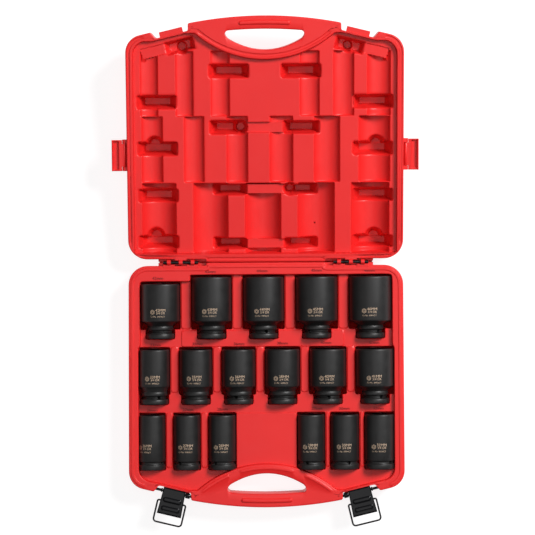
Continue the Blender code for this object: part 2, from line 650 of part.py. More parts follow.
def make_lid(layout, material):
    lid_frame = add_empty("lid_hinge", (0.0, HINGE_Y, HALF_HEIGHT), (REST_TILT, 0.0, 0.0))
    lid = add_object("lid_shell", half_body(1), material, lid_frame)
    added = [add_object(f"lid_stop_pad_{number}", pad, parent=lid)
             for number, pad in enumerate(stop_pads(1))]
    for number, lug in enumerate(hinge_lugs(1)):
        added += [add_object(f"lid_lug_{number}_{part}", piece, parent=lid)
                  for part, piece in zip(("eye", "arm"), lug)]
    added += clip_lugs(lid) + catch_solids(lid)
    cut_with(lid, added, "lid_additions", "UNION")
    inside = inside_outline(LID_REAR_RIM, HALF_WIDTH - LID_SIDE_RIM)
    cutters = [add_object("lid_inside", prism_z(inside, -DECK_DEPTH, OVERRUN), parent=lid),
               add_object("lid_hand_hole",
                          prism_z(handle_opening(), -HALF_HEIGHT - OVERRUN, OVERRUN),
                          parent=lid)]
    cutters += trough_cutters(layout, lid)
    for hand in (-1, 1):
        for columns, x in ((OUTER_PIT_V, OUTER_PIT_X), (INNER_PIT_V, INNER_PIT_X)):
            cutters += [pit_cutter(f"pit_{hand}_{x}_{v}", lid, hand * x, v, PIT_RIM, PIT_FLOOR)
                        for v in columns]
        x, v, long_side, short_side = SLANTED_PIT
        cutters.append(pit_cutter(f"slanted_pit_{hand}", lid, hand * x, v,
                                  (long_side, short_side), (long_side / 2, short_side / 2),
                                  -hand * FRONT_SLANT))
        bore = rod(ROD_DIAMETER / 2 + ROD_PLAY, LUG_MIDDLE - LUG_PITCH, LUG_MIDDLE + LUG_PITCH)
        cutters.append(add_object(f"lid_rod_bore_{hand}", bore, parent=lid))
        if hand < 0:
            cutters[-1].rotation_euler = (0.0, 0.0, math.pi)
        pin = rod(CLIP_PIN_DIAMETER / 2 + CLIP_PLAY, CLIP_FROM_HINGE - OVERRUN,
                  CLIP_FROM_HINGE + CLIP_WIDTH + OVERRUN, 10, "Y",
                  (hand * (HALF_WIDTH + CLIP_AXIS_OUT), -CLIP_AXIS_DEPTH))
        cutters.append(add_object(f"clip_pin_bore_{hand}", pin, parent=lid))
    cut_with(lid, cutters, "lid_cuts")
    return lid_frame


# ---------------------------------------------------------------- moving hardware
def make_hinge_rods(material):
    for hand, name in ((-1, "left"), (1, "right")):
        start = LUG_MIDDLE - ROD_LENGTH / 2
        item = add_object(f"hinge_rod_{name}", rod(ROD_DIAMETER / 2, start, start + ROD_LENGTH),
                          material, smooth=True)
        item.location = (0.0, HINGE_Y, HALF_HEIGHT)
        if hand < 0:
            item.rotation_euler = (0.0, 0.0, math.pi)


def lever_half_width(y):
    """Half width of the lever at a distance from the pin axis."""
    share = (y + LEVER_BEHIND_PIN) / LEVER_LENGTH
    return (LEVER_ROOT_WIDTH + (LEVER_END_WIDTH - LEVER_ROOT_WIDTH) * share) / 2


def lever_block(outline, sheet):
    """Side outline carried across the tapering width, less the sheet at each side."""
    return loft([[(sign * (lever_half_width(y) - sheet), y, z) for y, z in outline]
                 for sign in (-1, 1)])


def make_lever(name, frame, material):
    back, end = -LEVER_BEHIND_PIN, LEVER_LENGTH - LEVER_BEHIND_PIN
    low = LEVER_TOP - LEVER_FLANGE
    outline = [(back, LEVER_TOP - LEVER_EDGE), (back + LEVER_EDGE, LEVER_TOP),
               (end, LEVER_TOP), (end, LEVER_TOP - LEVER_SHEET * 2),
               (end * LEVER_FLANGE_SHARE, low), (back + LEVER_HEEL, low), (back, low + LEVER_HEEL)]
    lever = add_object(f"latch_lever_{name}", lever_block(outline, 0.0), material, frame)
    under = LEVER_TOP - LEVER_SHEET
    hollow = [(back - OVERRUN, low - OVERRUN), (back - OVERRUN, under), (end + OVERRUN, under),
              (end + OVERRUN, low - OVERRUN)]
    reach = LEVER_END_WIDTH / 2 + OVERRUN
    cutters = [add_object(f"lever_hollow_{name}", lever_block(hollow, LEVER_SHEET), parent=frame),
               add_object(f"lever_pin_hole_{name}",
                          rod(LATCH_PIN_DIAMETER / 2 + LATCH_PLAY, -reach, reach, 12),
                          parent=frame),
               add_object(f"lever_bail_hole_{name}",
                          rod(BAIL_WIRE / 2 + LATCH_PLAY, -reach, reach, 10, "X", BAIL_PIVOT),
                          parent=frame)]
    cut_with(lever, cutters, f"lever_cuts_{name}")
    ribs = []
    length, width, height = RIB_SIZE
    for number, y in enumerate(RIB_AT):
        rings = [[(sx * (length / 2 - step), y + sy * (width / 2 - step), z)
                  for sx, sy in ((-1, -1), (1, -1), (1, 1), (-1, 1))]
                 for z, step in ((LEVER_TOP - LEVER_SHEET / 2, 0.0), (LEVER_TOP + height, height))]
        ribs.append(add_object(f"lever_rib_{name}_{number}", loft(rings), parent=frame))
    cut_with(lever, ribs, f"lever_ribs_{name}", "UNION")
    return lever


def make_bail(name, frame, material):
    """Bent wire: two inward tails through the lever's flanges and a rounded rectangle."""
    pivot = add_empty(f"bail_pivot_{name}", (0.0, *BAIL_PIVOT), parent=frame)
    arm_x = (BAIL_WIDTH - BAIL_WIRE) / 2
    tail_x = lever_half_width(BAIL_PIVOT[0]) - LEVER_SHEET - BAIL_TAIL
    bend = BAIL_BEND
    far = BAIL_LENGTH
    half = [(tail_x, 0.0)]
    half += arc((arm_x - bend / 2, bend / 2), bend / 2, -math.pi / 2, 0.0, 3)
    half += arc((arm_x - bend, far - bend), bend, 0.0, math.pi / 2, 4)
    path = half + [(-x, y) for x, y in reversed(half)]
    curve = bpy.data.curves.new(f"latch_bail_{name}", "CURVE")
    curve.dimensions = "3D"
    curve.bevel_depth = BAIL_WIRE / 2
    curve.bevel_resolution = 2
    curve.use_fill_caps = True
    spline = curve.splines.new("POLY")
    spline.points.add(len(path) - 1)
    for point, (x, y) in zip(spline.points, path):
        point.co = (x, y, 0.0, 1.0)
    curve.materials.append(material)
    bail = bpy.data.objects.new(f"latch_bail_{name}", curve)
    bpy.context.scene.collection.objects.link(bail)
    bail.parent = pivot


def make_latch(hand, lever_material, wire_material):
    name = "left" if hand < 0 else "right"
    frame = latch_frame(hand, -1, bpy.data.objects["base_frame"])
    make_lever(name, frame, lever_material)
    make_bail(name, frame, wire_material)
    reach = RECESS_HALF_WIDTH + LATCH_PIN_REACH
    radius = LATCH_PIN_DIAMETER / 2
    inner = lever_half_width(0.0) + LEVER_GAP
    wall = RECESS_HALF_WIDTH - LATCH_PLAY
    width, height = WASHER
    profile = [(-reach, 0.0), (-reach, radius), (-inner - width, radius),
               (-inner - width, radius + height), (-inner, radius + height), (-inner, radius),
               (inner, radius), (inner, COLLAR_RADIUS), (wall, COLLAR_RADIUS), (wall, radius),
               (reach, radius), (reach, 0.0)]
    pin = add_object(f"latch_pivot_{name}", turned(profile, 14), wire_material, frame, True)
    pin.rotation_euler = (0.0, 0.0, hand * math.pi / 2)


def clip_section():
    """Side view of the clip, as (out, z) from its axis: arm, tray block and end hook."""
    tip = CLIP_REACH - CLIP_AXIS_OUT
    top = CLIP_AXIS_OUT - CLIP_PLAY
    hook, height = CLIP_HOOK
    low = top - CLIP_SHEET - CLIP_TRAY_FLOOR
    return [(0.0, -CLIP_BARREL / 2), (tip, low), (tip, top + height), (tip - hook, top + height),
            (tip - hook, top), (CLIP_TOP_EDGE, top), (0.0, CLIP_BARREL / 2 - CLIP_PLAY)]


def make_clip(hand, lid_frame, plastic, steel):
    name = "left" if hand < 0 else "right"
    place = (hand * (HALF_WIDTH + CLIP_AXIS_OUT), CLIP_FROM_HINGE + CLIP_WIDTH / 2,
             -CLIP_AXIS_DEPTH)
    frame = add_empty(f"clip_axis_{name}", place, (0.0, 0.0, 0.0 if hand > 0 else math.pi),
                      lid_frame)
    half = CLIP_WIDTH / 2
    inner = half - CLIP_LUG - CLIP_PLAY
    clear = CLIP_BARREL / 2 + CLIP_NOTCH_CLEAR
    clip = add_object(f"side_clip_{name}", prism_y(clip_section(), -half, half), plastic, frame)
    barrel = add_object(f"clip_barrel_{name}", rod(CLIP_BARREL / 2, -inner, inner, 12, "Y"),
                        parent=frame)
    cut_with(clip, [barrel], f"clip_barrel_union_{name}", "UNION")
    tip = CLIP_REACH - CLIP_AXIS_OUT
    wall, floor = CLIP_TRAY_WALL, -CLIP_TRAY_FLOOR
    near = clear + CLIP_TRAY_SET_BACK[0]
    far = tip - CLIP_HOOK[0] - CLIP_TRAY_SET_BACK[1]
    tray = [(near, floor), (far, floor), (far, CLIP_AXIS_OUT), (near, CLIP_AXIS_OUT)]
    cutters = [add_object(f"clip_tray_{name}", prism_y(tray, -half + wall, half - wall),
                          parent=frame),
               add_object(f"clip_bore_{name}",
                          rod(CLIP_PIN_DIAMETER / 2 + CLIP_PLAY, -half, half, 10, "Y"),
                          parent=frame)]
    for end in (-1, 1):
        low, high = sorted((end * inner, end * (half + OVERRUN)))
        corner = [(-clear, -clear), (clear, -clear), (clear, clear), (-clear, clear)]
        cutters.append(add_object(f"clip_notch_{name}_{end}", prism_y(corner, low, high),
                                  parent=frame))
    cut_with(clip, cutters, f"clip_cuts_{name}")
    add_object(f"side_clip_pin_{name}",
               rod(CLIP_PIN_DIAMETER / 2, CLIP_PIN_END - half, half - CLIP_PIN_END, 12, "Y"),
               steel, frame, True)


# ---------------------------------------------------------------- build
def main():
    clear_scene()
    red = make_material("red_polyethylene", (0.72, 0.03, 0.025), 0.42)
    phosphate = make_material("black_phosphate_steel", (0.018, 0.018, 0.019), 0.48, 0.6)
    lacquer = make_material("gloss_black_steel", (0.006, 0.006, 0.007), 0.16, 0.3)
    wire = make_material("dark_steel_wire", (0.03, 0.03, 0.033), 0.35, 0.9)
    layout = socket_layout()
    make_base(layout, red)
    lid_frame = make_lid(layout, red)
    for size, place in layout.items():
        make_socket(size, place, phosphate)
    make_hinge_rods(wire)
    for hand in (-1, 1):
        make_latch(hand, lacquer, wire)
        make_clip(hand, lid_frame, red, wire)


main()
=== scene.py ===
"""Deep impact socket set in a blow-moulded carry case, opened flat on a pale floor.

Shapes are worked out in millimetres in case coordinates: x across, v away from the hinge
line and z over the hinge axis. The base lies at -Y of the hinge line. The lid at +Y is
drawn in the same way and then turned up by its rest angle about the hinge axis.
"""

import math

import bmesh
import bpy
import numpy as np
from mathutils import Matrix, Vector


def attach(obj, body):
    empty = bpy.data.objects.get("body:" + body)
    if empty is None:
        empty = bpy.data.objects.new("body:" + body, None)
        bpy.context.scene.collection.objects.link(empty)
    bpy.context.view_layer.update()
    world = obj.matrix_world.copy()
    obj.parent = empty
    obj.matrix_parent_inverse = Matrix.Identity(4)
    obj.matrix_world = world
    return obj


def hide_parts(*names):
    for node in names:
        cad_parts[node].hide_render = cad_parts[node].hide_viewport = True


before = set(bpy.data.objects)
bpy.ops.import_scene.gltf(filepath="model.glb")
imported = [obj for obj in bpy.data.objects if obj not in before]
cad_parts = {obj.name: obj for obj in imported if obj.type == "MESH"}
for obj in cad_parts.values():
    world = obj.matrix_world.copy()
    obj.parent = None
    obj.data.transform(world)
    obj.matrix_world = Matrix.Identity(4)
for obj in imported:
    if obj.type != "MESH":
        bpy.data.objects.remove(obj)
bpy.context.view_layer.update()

# ---------------------------------------------------------------- dimensions, mm
MM = 0.001
ROW_ONE = {42: 57.5, 43: 58.0, 44: 59.5, 45: 60.5, 46: 62.0}
ROW_TWO = {33: 45.0, 35: 47.5, 36: 48.5, 38: 50.5, 40: 53.0, 41: 55.5}
ROW_THREE_LEFT = {26: 38.5, 27: 38.5, 28: 39.5}
ROW_THREE_RIGHT = {29: 40.0, 30: 41.0, 32: 43.5}
ROW_OPEN_END = (21.2, 127.0, 222.8)
HALF_WIDTH = 201.35
ROWS_END = 302.8
HINGE_Y = 179.0
HINGE_Z = 45.0
REST_TILT = math.radians(7.0)
SIDE_MARGIN = (17.8, 14.8, 14.3)
DECK = -8.0
RIM = -0.2
SOCKET_AXIS = -10.0
FLOOR = -41.8
FRONT_SLANT = math.radians(13.5)
FRONT_CORNER = 26.0
REAR_CORNER = 28.0
REAR_SET_BACK = 4.6
REAR_TAPER = 0.8
HINGE_ZONE = 87.0
LATCH_X = HALF_WIDTH - 67.0
RECESS_HALF = 24.2
RECESS_DEPTH = 10.5
RECESS_FLARE = 5.0
RECESS_WALL = 2.5
PIN_OUT = 5.5
PIN_Z = -4.0
HOLE_HALF = 57.5
FLANGE = 20.75
"""Radius of a socket's drive-end flange."""
HEX_PLAY = 0.3
"""Room between a hexagon's flat and its nominal half width."""
SQUARE_HALF = 9.65
DRIVE_DEPTH = 24.0
PIN_HOLE_BACK = 10.0
"""Pin hole's axis before the drive end."""
CAMERA_PLACE = (0.0025, 0.1712, 3.345)
CAMERA_TURN = -0.0052
CAMERA_LENS = 152.2
CLIP_PIN_OUT = 3.2
CLIP_PIN_Z = -7.0
CLIP_MIDDLE = 156.7
SKIN_BOTTOM = -44.0


# ---------------------------------------------------------------- places
def to_base(points):
    """Row-frame metres of base case points: (x, hinge - v, hinge height + z)."""
    x, v, z = np.asarray(points, float).reshape(-1, 3).T
    return np.column_stack((x, HINGE_Y - v, HINGE_Z + z)) * MM


def to_lid(points):
    """Row-frame metres of lid case points: (v, z) turned by the rest angle t is
    (v cos t - z sin t, v sin t + z cos t)."""
    x, v, z = np.asarray(points, float).reshape(-1, 3).T
    turned_v = v * math.cos(REST_TILT) - z * math.sin(REST_TILT)
    turned_z = v * math.sin(REST_TILT) + z * math.cos(REST_TILT)
    return np.column_stack((x, HINGE_Y + turned_v, HINGE_Z + turned_z)) * MM


def latch_point(along, out):
    """Case point from a latch's middle: along the slanted front, and out of its wall."""
    front_x = HALF_WIDTH - FRONT_CORNER + FRONT_CORNER * math.sin(FRONT_SLANT)
    front_v = ROWS_END + 2.2 + FRONT_CORNER * math.cos(FRONT_SLANT)
    wall = front_v + (front_x - LATCH_X) * math.tan(FRONT_SLANT)
    wall -= RECESS_DEPTH / math.cos(FRONT_SLANT)
    return (LATCH_X - along * math.cos(FRONT_SLANT) + out * math.sin(FRONT_SLANT),
            wall + along * math.sin(FRONT_SLANT) + out * math.cos(FRONT_SLANT))


def latch_place(hand, place):
    """Turns points given as (along, out, up) from the latch pin into the row frame."""
    def placed(points):
        along, out, up = np.asarray(points, float).reshape(-1, 3).T
        x, v = latch_point(along, out + PIN_OUT)
        return place(np.column_stack((hand * x, v, up + PIN_Z)))
    return placed


def socket_places():
    """Size -> (x, v of the open end, length, radius); each row's webs are equal."""
    rows = ((ROW_ONE, 0, None), (ROW_TWO, 1, None), (ROW_THREE_LEFT, 2, -1),
            (ROW_THREE_RIGHT, 2, 1))
    found = {}
    for row, index, hand in rows:
        edge = HALF_WIDTH - SIDE_MARGIN[index]
        left = 45.0 if hand == 1 else -edge
        right = -45.0 if hand == -1 else edge
        web = (right - left - sum(row.values())) / (len(row) - 1)
        for size, diameter in row.items():
            length = 90.0 if size >= 43 else 80.0
            longest = 90.0 if index == 0 else 80.0
            found[size] = (left + diameter / 2, ROW_OPEN_END[index] + longest - length,
                           length, diameter / 2)
            left += diameter + web
    return found


SOCKETS = socket_places()


def row_of(size):
    """Row of a size, counted from the hinge."""
    return 0 if size in ROW_ONE else 1 if size in ROW_TWO else 2


# ---------------------------------------------------------------- mesh building
def outward(points, faces):
    """Quads wound so that the enclosed volume, the sum of corner triple products, is
    positive."""
    a, b, c, d = (points[faces[:, corner]] for corner in range(4))
    volume = (np.cross(a, b) * c).sum() + (np.cross(a, c) * d).sum()
    return faces if volume > 0 else faces[:, ::-1]


def build(name, points, faces, material, angle=38.0, weld=False):
    """Object from points in metres and faces; one quad array or a list of faces."""
    name = name.replace(" ", "_")
    if isinstance(faces, np.ndarray):
        faces = outward(points, faces).tolist()
    mesh = bpy.data.meshes.new(name)
    mesh.from_pydata(points.tolist(), [], faces)
    if weld:
        work = bmesh.new()
        work.from_mesh(mesh)
        bmesh.ops.remove_doubles(work, verts=work.verts, dist=2e-6)
        bmesh.ops.recalc_face_normals(work, faces=work.faces)
        work.to_mesh(mesh)
        work.free()
    mesh.update()
    mesh.shade_smooth()
    mesh.set_sharp_from_angle(angle=math.radians(angle))
    mesh.materials.append(material)
    item = bpy.data.objects.new(name, mesh)
    bpy.context.scene.collection.objects.link(item)
    return item


def finish_piece(item, body, slot, *nodes):
    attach(item, body)
    if nodes:
        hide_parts(*nodes)
    return item


def grid_faces(rows, columns, wrap_rows=False, wrap_columns=False):
    """Quads of a rows x columns grid of points, row by row."""
    index = np.arange(rows * columns).reshape(rows, columns)
    if wrap_rows:
        index = np.vstack((index, index[:1]))
    if wrap_columns:
        index = np.hstack((index, index[:, :1]))
    return np.stack((index[:-1, :-1], index[:-1, 1:], index[1:, 1:], index[1:, :-1]),
                    axis=-1).reshape(-1, 4)


def shell_grid(top, bottom):
    """Closed solid between two equal grids of points, joined round their border."""
    rows, columns = top.shape[:2]
    points = np.vstack((top.reshape(-1, 3), bottom.reshape(-1, 3)))
    index = np.arange(rows * columns).reshape(rows, columns)
    border = np.concatenate((index[0, :-1], index[:-1, -1], index[-1, :0:-1],
                             index[:0:-1, 0]))
    after = np.roll(border, -1)
    under = rows * columns
    walls = np.column_stack((border, border + under, after + under, after))
    flat = grid_faces(rows, columns)
    return points, np.vstack((flat, flat[:, ::-1] + under, walls))


def joined(parts):
    """Several (points, faces) solids as one."""
    points, faces, start = [], [], 0
    for part_points, part_faces in parts:
        points.append(part_points)
        faces.append(outward(part_points, part_faces) + start)
        start += len(part_points)
    return np.vstack(points), np.vstack(faces)


def disc(ring, flip):
    """Quads straight across a closed ring of point numbers."""
    k = np.arange(len(ring) // 2 - 1)
    strip = np.column_stack((ring[k], ring[k + 1], ring[-2 - k], ring[-1 - k]))
    return strip if flip else strip[:, ::-1]


def lathe(profile, sides=32):
    """Closed solid turned about x from (x, radius) points that start and end near it:
    (x, r) goes to (x, r cos a, r sin a)."""
    profile = np.asarray(profile, float)
    angles = np.arange(sides) * math.tau / sides
    x = np.repeat(profile[:, :1], sides, axis=1)
    points = np.stack((x, profile[:, 1:] * np.cos(angles), profile[:, 1:] * np.sin(angles)),
                      axis=-1).reshape(-1, 3)
    first = np.arange(sides)
    last = first + (len(profile) - 1) * sides
    return points, np.vstack((grid_faces(len(profile), sides, wrap_columns=True),
                              disc(first, False), disc(last, True)))


def tube(path, radius, sides=12):
    """Round bar along a path in the (x, y) plane: each ring is path + r (n cos a + z sin a),
    n being the path's normal."""
    path = np.asarray(path, float)
    along = np.gradient(path, axis=0)
    along /= np.linalg.norm(along, axis=1, keepdims=True)
    normal = np.column_stack((-along[:, 1], along[:, 0]))
    angles = np.arange(sides) * math.tau / sides
    ring = radius * np.cos(angles)
    x = path[:, :1] + normal[:, :1] * ring
    y = path[:, 1:] + normal[:, 1:] * ring
    z = np.repeat(radius * np.sin(angles)[None], len(path), axis=0)
    points = np.stack((x, y, z), axis=-1).reshape(-1, 3)
    first = np.arange(sides)
    last = first + (len(path) - 1) * sides
    return points, np.vstack((grid_faces(len(path), sides, wrap_columns=True),
                              disc(first, False), disc(last, True)))


def prism(outline, start, end):
    """Closed bar along x of a convex-ish (y, z) outline, its ends fanned from the middle."""
    outline = np.asarray(outline, float)
    count = len(outline)
    middle = outline.mean(axis=0)
    rings = [np.column_stack((np.full(count, x), outline)) for x in (start, end)]
    points = np.vstack(rings + [[start, *middle], [end, *middle]])
    here = np.arange(count)
    after = np.roll(here, -1)
    walls = np.column_stack((here, after, after + count, here + count))
    low = np.column_stack((after, here, np.full(count, 2 * count), np.full(count, 2 * count)))
    high = np.column_stack((here, after, np.full(count, 2 * count + 1),
                            np.full(count, 2 * count + 1))) + [count, count, 0, 0]
    return points, walls, low[:, :3], high[:, :3]


def build_prisms(name, bars, material, bevel=0.0):
    """Object from several prisms (outline, start, end), each put in place by its function."""
    points, faces, start = [], [], 0
    for outline, low, high, put in bars:
        body, walls, one, two = prism(outline, low, high)
        points.append(put(body))
        for group in (walls, one, two):
            faces += (group + start).tolist()
        start += len(body)
    item = build(name, np.vstack(points), faces, material)
    work = bmesh.new()
    work.from_mesh(item.data)
    bmesh.ops.recalc_face_normals(work, faces=work.faces)
    work.to_mesh(item.data)
    work.free()
    if bevel:
        step = item.modifiers.new("edge rounding", "BEVEL")
        step.width = bevel * MM
        step.segments = 3
        step.limit_method = "ANGLE"
    return item


# ---------------------------------------------------------------- materials
class Wire:
    """A node output that can be used in sums."""

    def __init__(self, graph, socket):
        self.graph, self.socket = graph, socket

    def __add__(self, other):
        return self.graph.math("ADD", self, other)

    def __mul__(self, other):
        return self.graph.math("MULTIPLY", self, other)

    __radd__, __rmul__ = __add__, __mul__


class Graph:
    """Node material built on one Principled shader."""

    def __init__(self, name, **constants):
        self.material = bpy.data.materials.new(name)
        self.material.use_nodes = True
        self.tree = self.material.node_tree
        self.shader = self.tree.nodes["Principled BSDF"]
        for key, value in constants.items():
            self.shader.inputs[self.title(key)].default_value = value

    @staticmethod
    def title(key):
        return key.replace("_", " ").title().replace("Ior", "IOR")

    def node(self, kind, out=0, settings=None, **inputs):
        made = self.tree.nodes.new("ShaderNode" + kind)
        for key, value in (settings or {}).items():
            setattr(made, key, value)
        for key, value in inputs.items():
            self.join(made.inputs[int(key[1:]) if key[1:].isdigit() else key.title()], value)
        return Wire(self, made.outputs[out])

    def join(self, socket, value):
        if isinstance(value, Wire):
            self.tree.links.new(value.socket, socket)
        else:
            socket.default_value = value

    def math(self, operation, a, b):
        return self.node("Math", settings={"operation": operation}, _0=a, _1=b)

    def place(self):
        return self.node("TexCoord", out="Object")

    def noise(self, scale, detail=3.0, roughness=0.55, vector=None):
        return self.node("TexNoise", vector=vector or self.place(), scale=scale,
                         detail=detail, roughness=roughness)

    def ramp(self, value, low, high, start=0.0, end=1.0):
        """Value from low..high mapped to start..end and kept between them."""
        return self.node("MapRange", value=value, _1=low, _2=high, _3=start, _4=end)

    def mix(self, share, one, two):
        """Colour one at share 0 and two at share 1."""
        return self.node("Mix", out=2, settings={"data_type": "RGBA"}, _0=share, _6=one,
                         _7=two)

    def bump(self, height, distance, strength=1.0):
        return self.node("Bump", height=height, distance=distance, strength=strength)

    def surface(self, **inputs):
        for key, value in inputs.items():
            self.join(self.shader.inputs[self.title(key)], value)
        return self.material


def plastic_material():
    """Satin red polyethylene: faint cloudiness, fine moulding grain, slight scuffs."""
    graph = Graph("satin red polyethylene", specular_ior_level=0.38)
    cloud = graph.noise(9.0, 2.0)
    share = graph.ramp(cloud, 0.35, 0.65)
    colour = graph.mix(share, (0.72, 0.0140, 0.0140, 1), (0.76, 0.0160, 0.0150, 1))
    grain = graph.noise(1300.0, 2.0)
    rough = graph.ramp(graph.noise(60.0, 4.0), 0.3, 0.7, 0.36, 0.46)
    return graph.surface(base_color=colour, roughness=rough,
                         normal=graph.bump(grain, 0.00005, 0.6))


def phosphate_material():
    """Black manganese phosphate on forged steel: matt, faintly mottled, drawn lines."""
    graph = Graph("black phosphate steel", specular_ior_level=0.40)
    place = graph.place()
    mottle = graph.noise(70.0, 5.0, 0.6)
    share = graph.ramp(mottle, 0.3, 0.7)
    colour = graph.mix(share, (0.0085, 0.0080, 0.0080, 1), (0.0130, 0.0125, 0.0125, 1))
    stretch = graph.node("VectorMath", settings={"operation": "MULTIPLY"}, _0=place,
                         _1=(300.0, 5200.0, 300.0))
    turning = graph.noise(1.0, 2.0, vector=stretch)
    rough = graph.ramp(mottle, 0.25, 0.75, 0.40, 0.50)
    height = turning * 0.5 + graph.noise(1500.0, 2.0) * 0.5
    return graph.surface(base_color=colour, roughness=rough,
                         normal=graph.bump(height, 0.00004, 0.5))


def lacquer_material():
    """Gloss black lacquer over pressed steel."""
    graph = Graph("gloss black lacquer", coat_roughness=0.06, specular_ior_level=0.14)
    wave = graph.noise(90.0, 2.0)
    rough = graph.ramp(wave, 0.3, 0.7, 0.09, 0.13)
    return graph.surface(base_color=(0.006, 0.006, 0.007, 1), roughness=rough,
                         coat_weight=0.10, normal=graph.bump(wave, 0.0002, 0.15))


def wire_material():
    """Dark drawn steel with a thin oil film."""
    graph = Graph("dark steel wire", metallic=0.9)
    share = graph.ramp(graph.noise(260.0, 4.0), 0.35, 0.7)
    colour = graph.mix(share, (0.020, 0.020, 0.022, 1), (0.045, 0.044, 0.043, 1))
    return graph.surface(base_color=colour, roughness=graph.ramp(share, 0.0, 1.0, 0.30, 0.42))


def mark_material():
    """Pale laser burn in the phosphate, a little uneven."""
    graph = Graph("pale laser mark")
    share = graph.ramp(graph.noise(900.0, 3.0), 0.35, 0.65)
    colour = graph.mix(share, (0.42, 0.29, 0.19, 1), (0.62, 0.46, 0.33, 1))
    return graph.surface(base_color=colour, roughness=0.6)


def painted_shade_letter_material():
    """The shell's red painted darker as painted shade: the letters are the shell's own plastic
    and only look darker from the shade on their steep sides.
    """
    graph = Graph("red letters with painted shade", specular_ior_level=0.3)
    share = graph.ramp(graph.noise(40.0), 0.3, 0.7)
    # Painted shade: a much darker red than the shell, standing in for the shade on the letters'
    # sides.
    colour = graph.mix(share, (0.22, 0.0008, 0.0020, 1), (0.26, 0.0010, 0.0025, 1))
    return graph.surface(base_color=colour, roughness=0.45)


def floor_material():
    graph = Graph("pale floor", emission_strength=0.86)
    share = graph.ramp(graph.noise(3.0, 2.0), 0.3, 0.7)
    colour = graph.mix(share, (0.24, 0.24, 0.24, 1), (0.25, 0.25, 0.25, 1))
    return graph.surface(base_color=colour, roughness=0.7, emission_color=(1, 1, 1, 1))


RED = plastic_material()
PHOSPHATE = phosphate_material()
LACQUER = lacquer_material()
WIRE = wire_material()
MARK = mark_material()
# The letters get painted shade: their darker red stands in for shade, not for a different
# plastic.
LETTERS_PAINTED_SHADE = painted_shade_letter_material()


# ---------------------------------------------------------------- rim of a case half
def arc(centre, radius, start, end, steps):
    turns = np.linspace(start, end, steps + 1)
    return np.column_stack((centre[0] + radius * np.cos(turns),
                            centre[1] + radius * np.sin(turns)))


def handle_edge(x):
    """v of the handle's outer edge: a circle through both recess corners, 10.7 mm high."""
    half, base = latch_point(RECESS_HALF + RECESS_FLARE / 2, RECESS_DEPTH)
    radius = (half ** 2 + 10.7 ** 2) / (2 * 10.7)
    return base + 10.7 - radius + np.sqrt(radius ** 2 - np.asarray(x, float) ** 2)


def arch_edge(x):
    """v of the inside's edge under the hand hole: a circle of 153 mm radius."""
    return 294.8 + 153.0 - np.sqrt(153.0 ** 2 - np.asarray(x, float) ** 2)


def hole_edges(x):
    """Outer and inner v of the hand hole: two shallow arcs whose ends close as quarter
    ellipses over the last 5 mm."""
    x = np.abs(x)
    outer, inner = 338.6 - x ** 2 / 1300, 308.4 + x ** 2 / 176
    past = np.clip((x - HOLE_HALF + 5.0) / 5.0, 0, 1)
    middle, half = (outer + inner) / 2, (outer - inner) / 2
    half = half * np.sqrt(1 - past ** 2)
    return middle + half, middle - half


def spaced(points, count):
    """count points evenly along a polyline, leaving its end out."""
    points = np.asarray(points, float)
    steps = np.hypot(*np.diff(points, axis=0).T)
    along = np.concatenate(([0.0], np.cumsum(steps)))
    at = np.linspace(0, along[-1], count, endpoint=False)
    return np.column_stack([np.interp(at, along, points[:, k]) for k in (0, 1)])


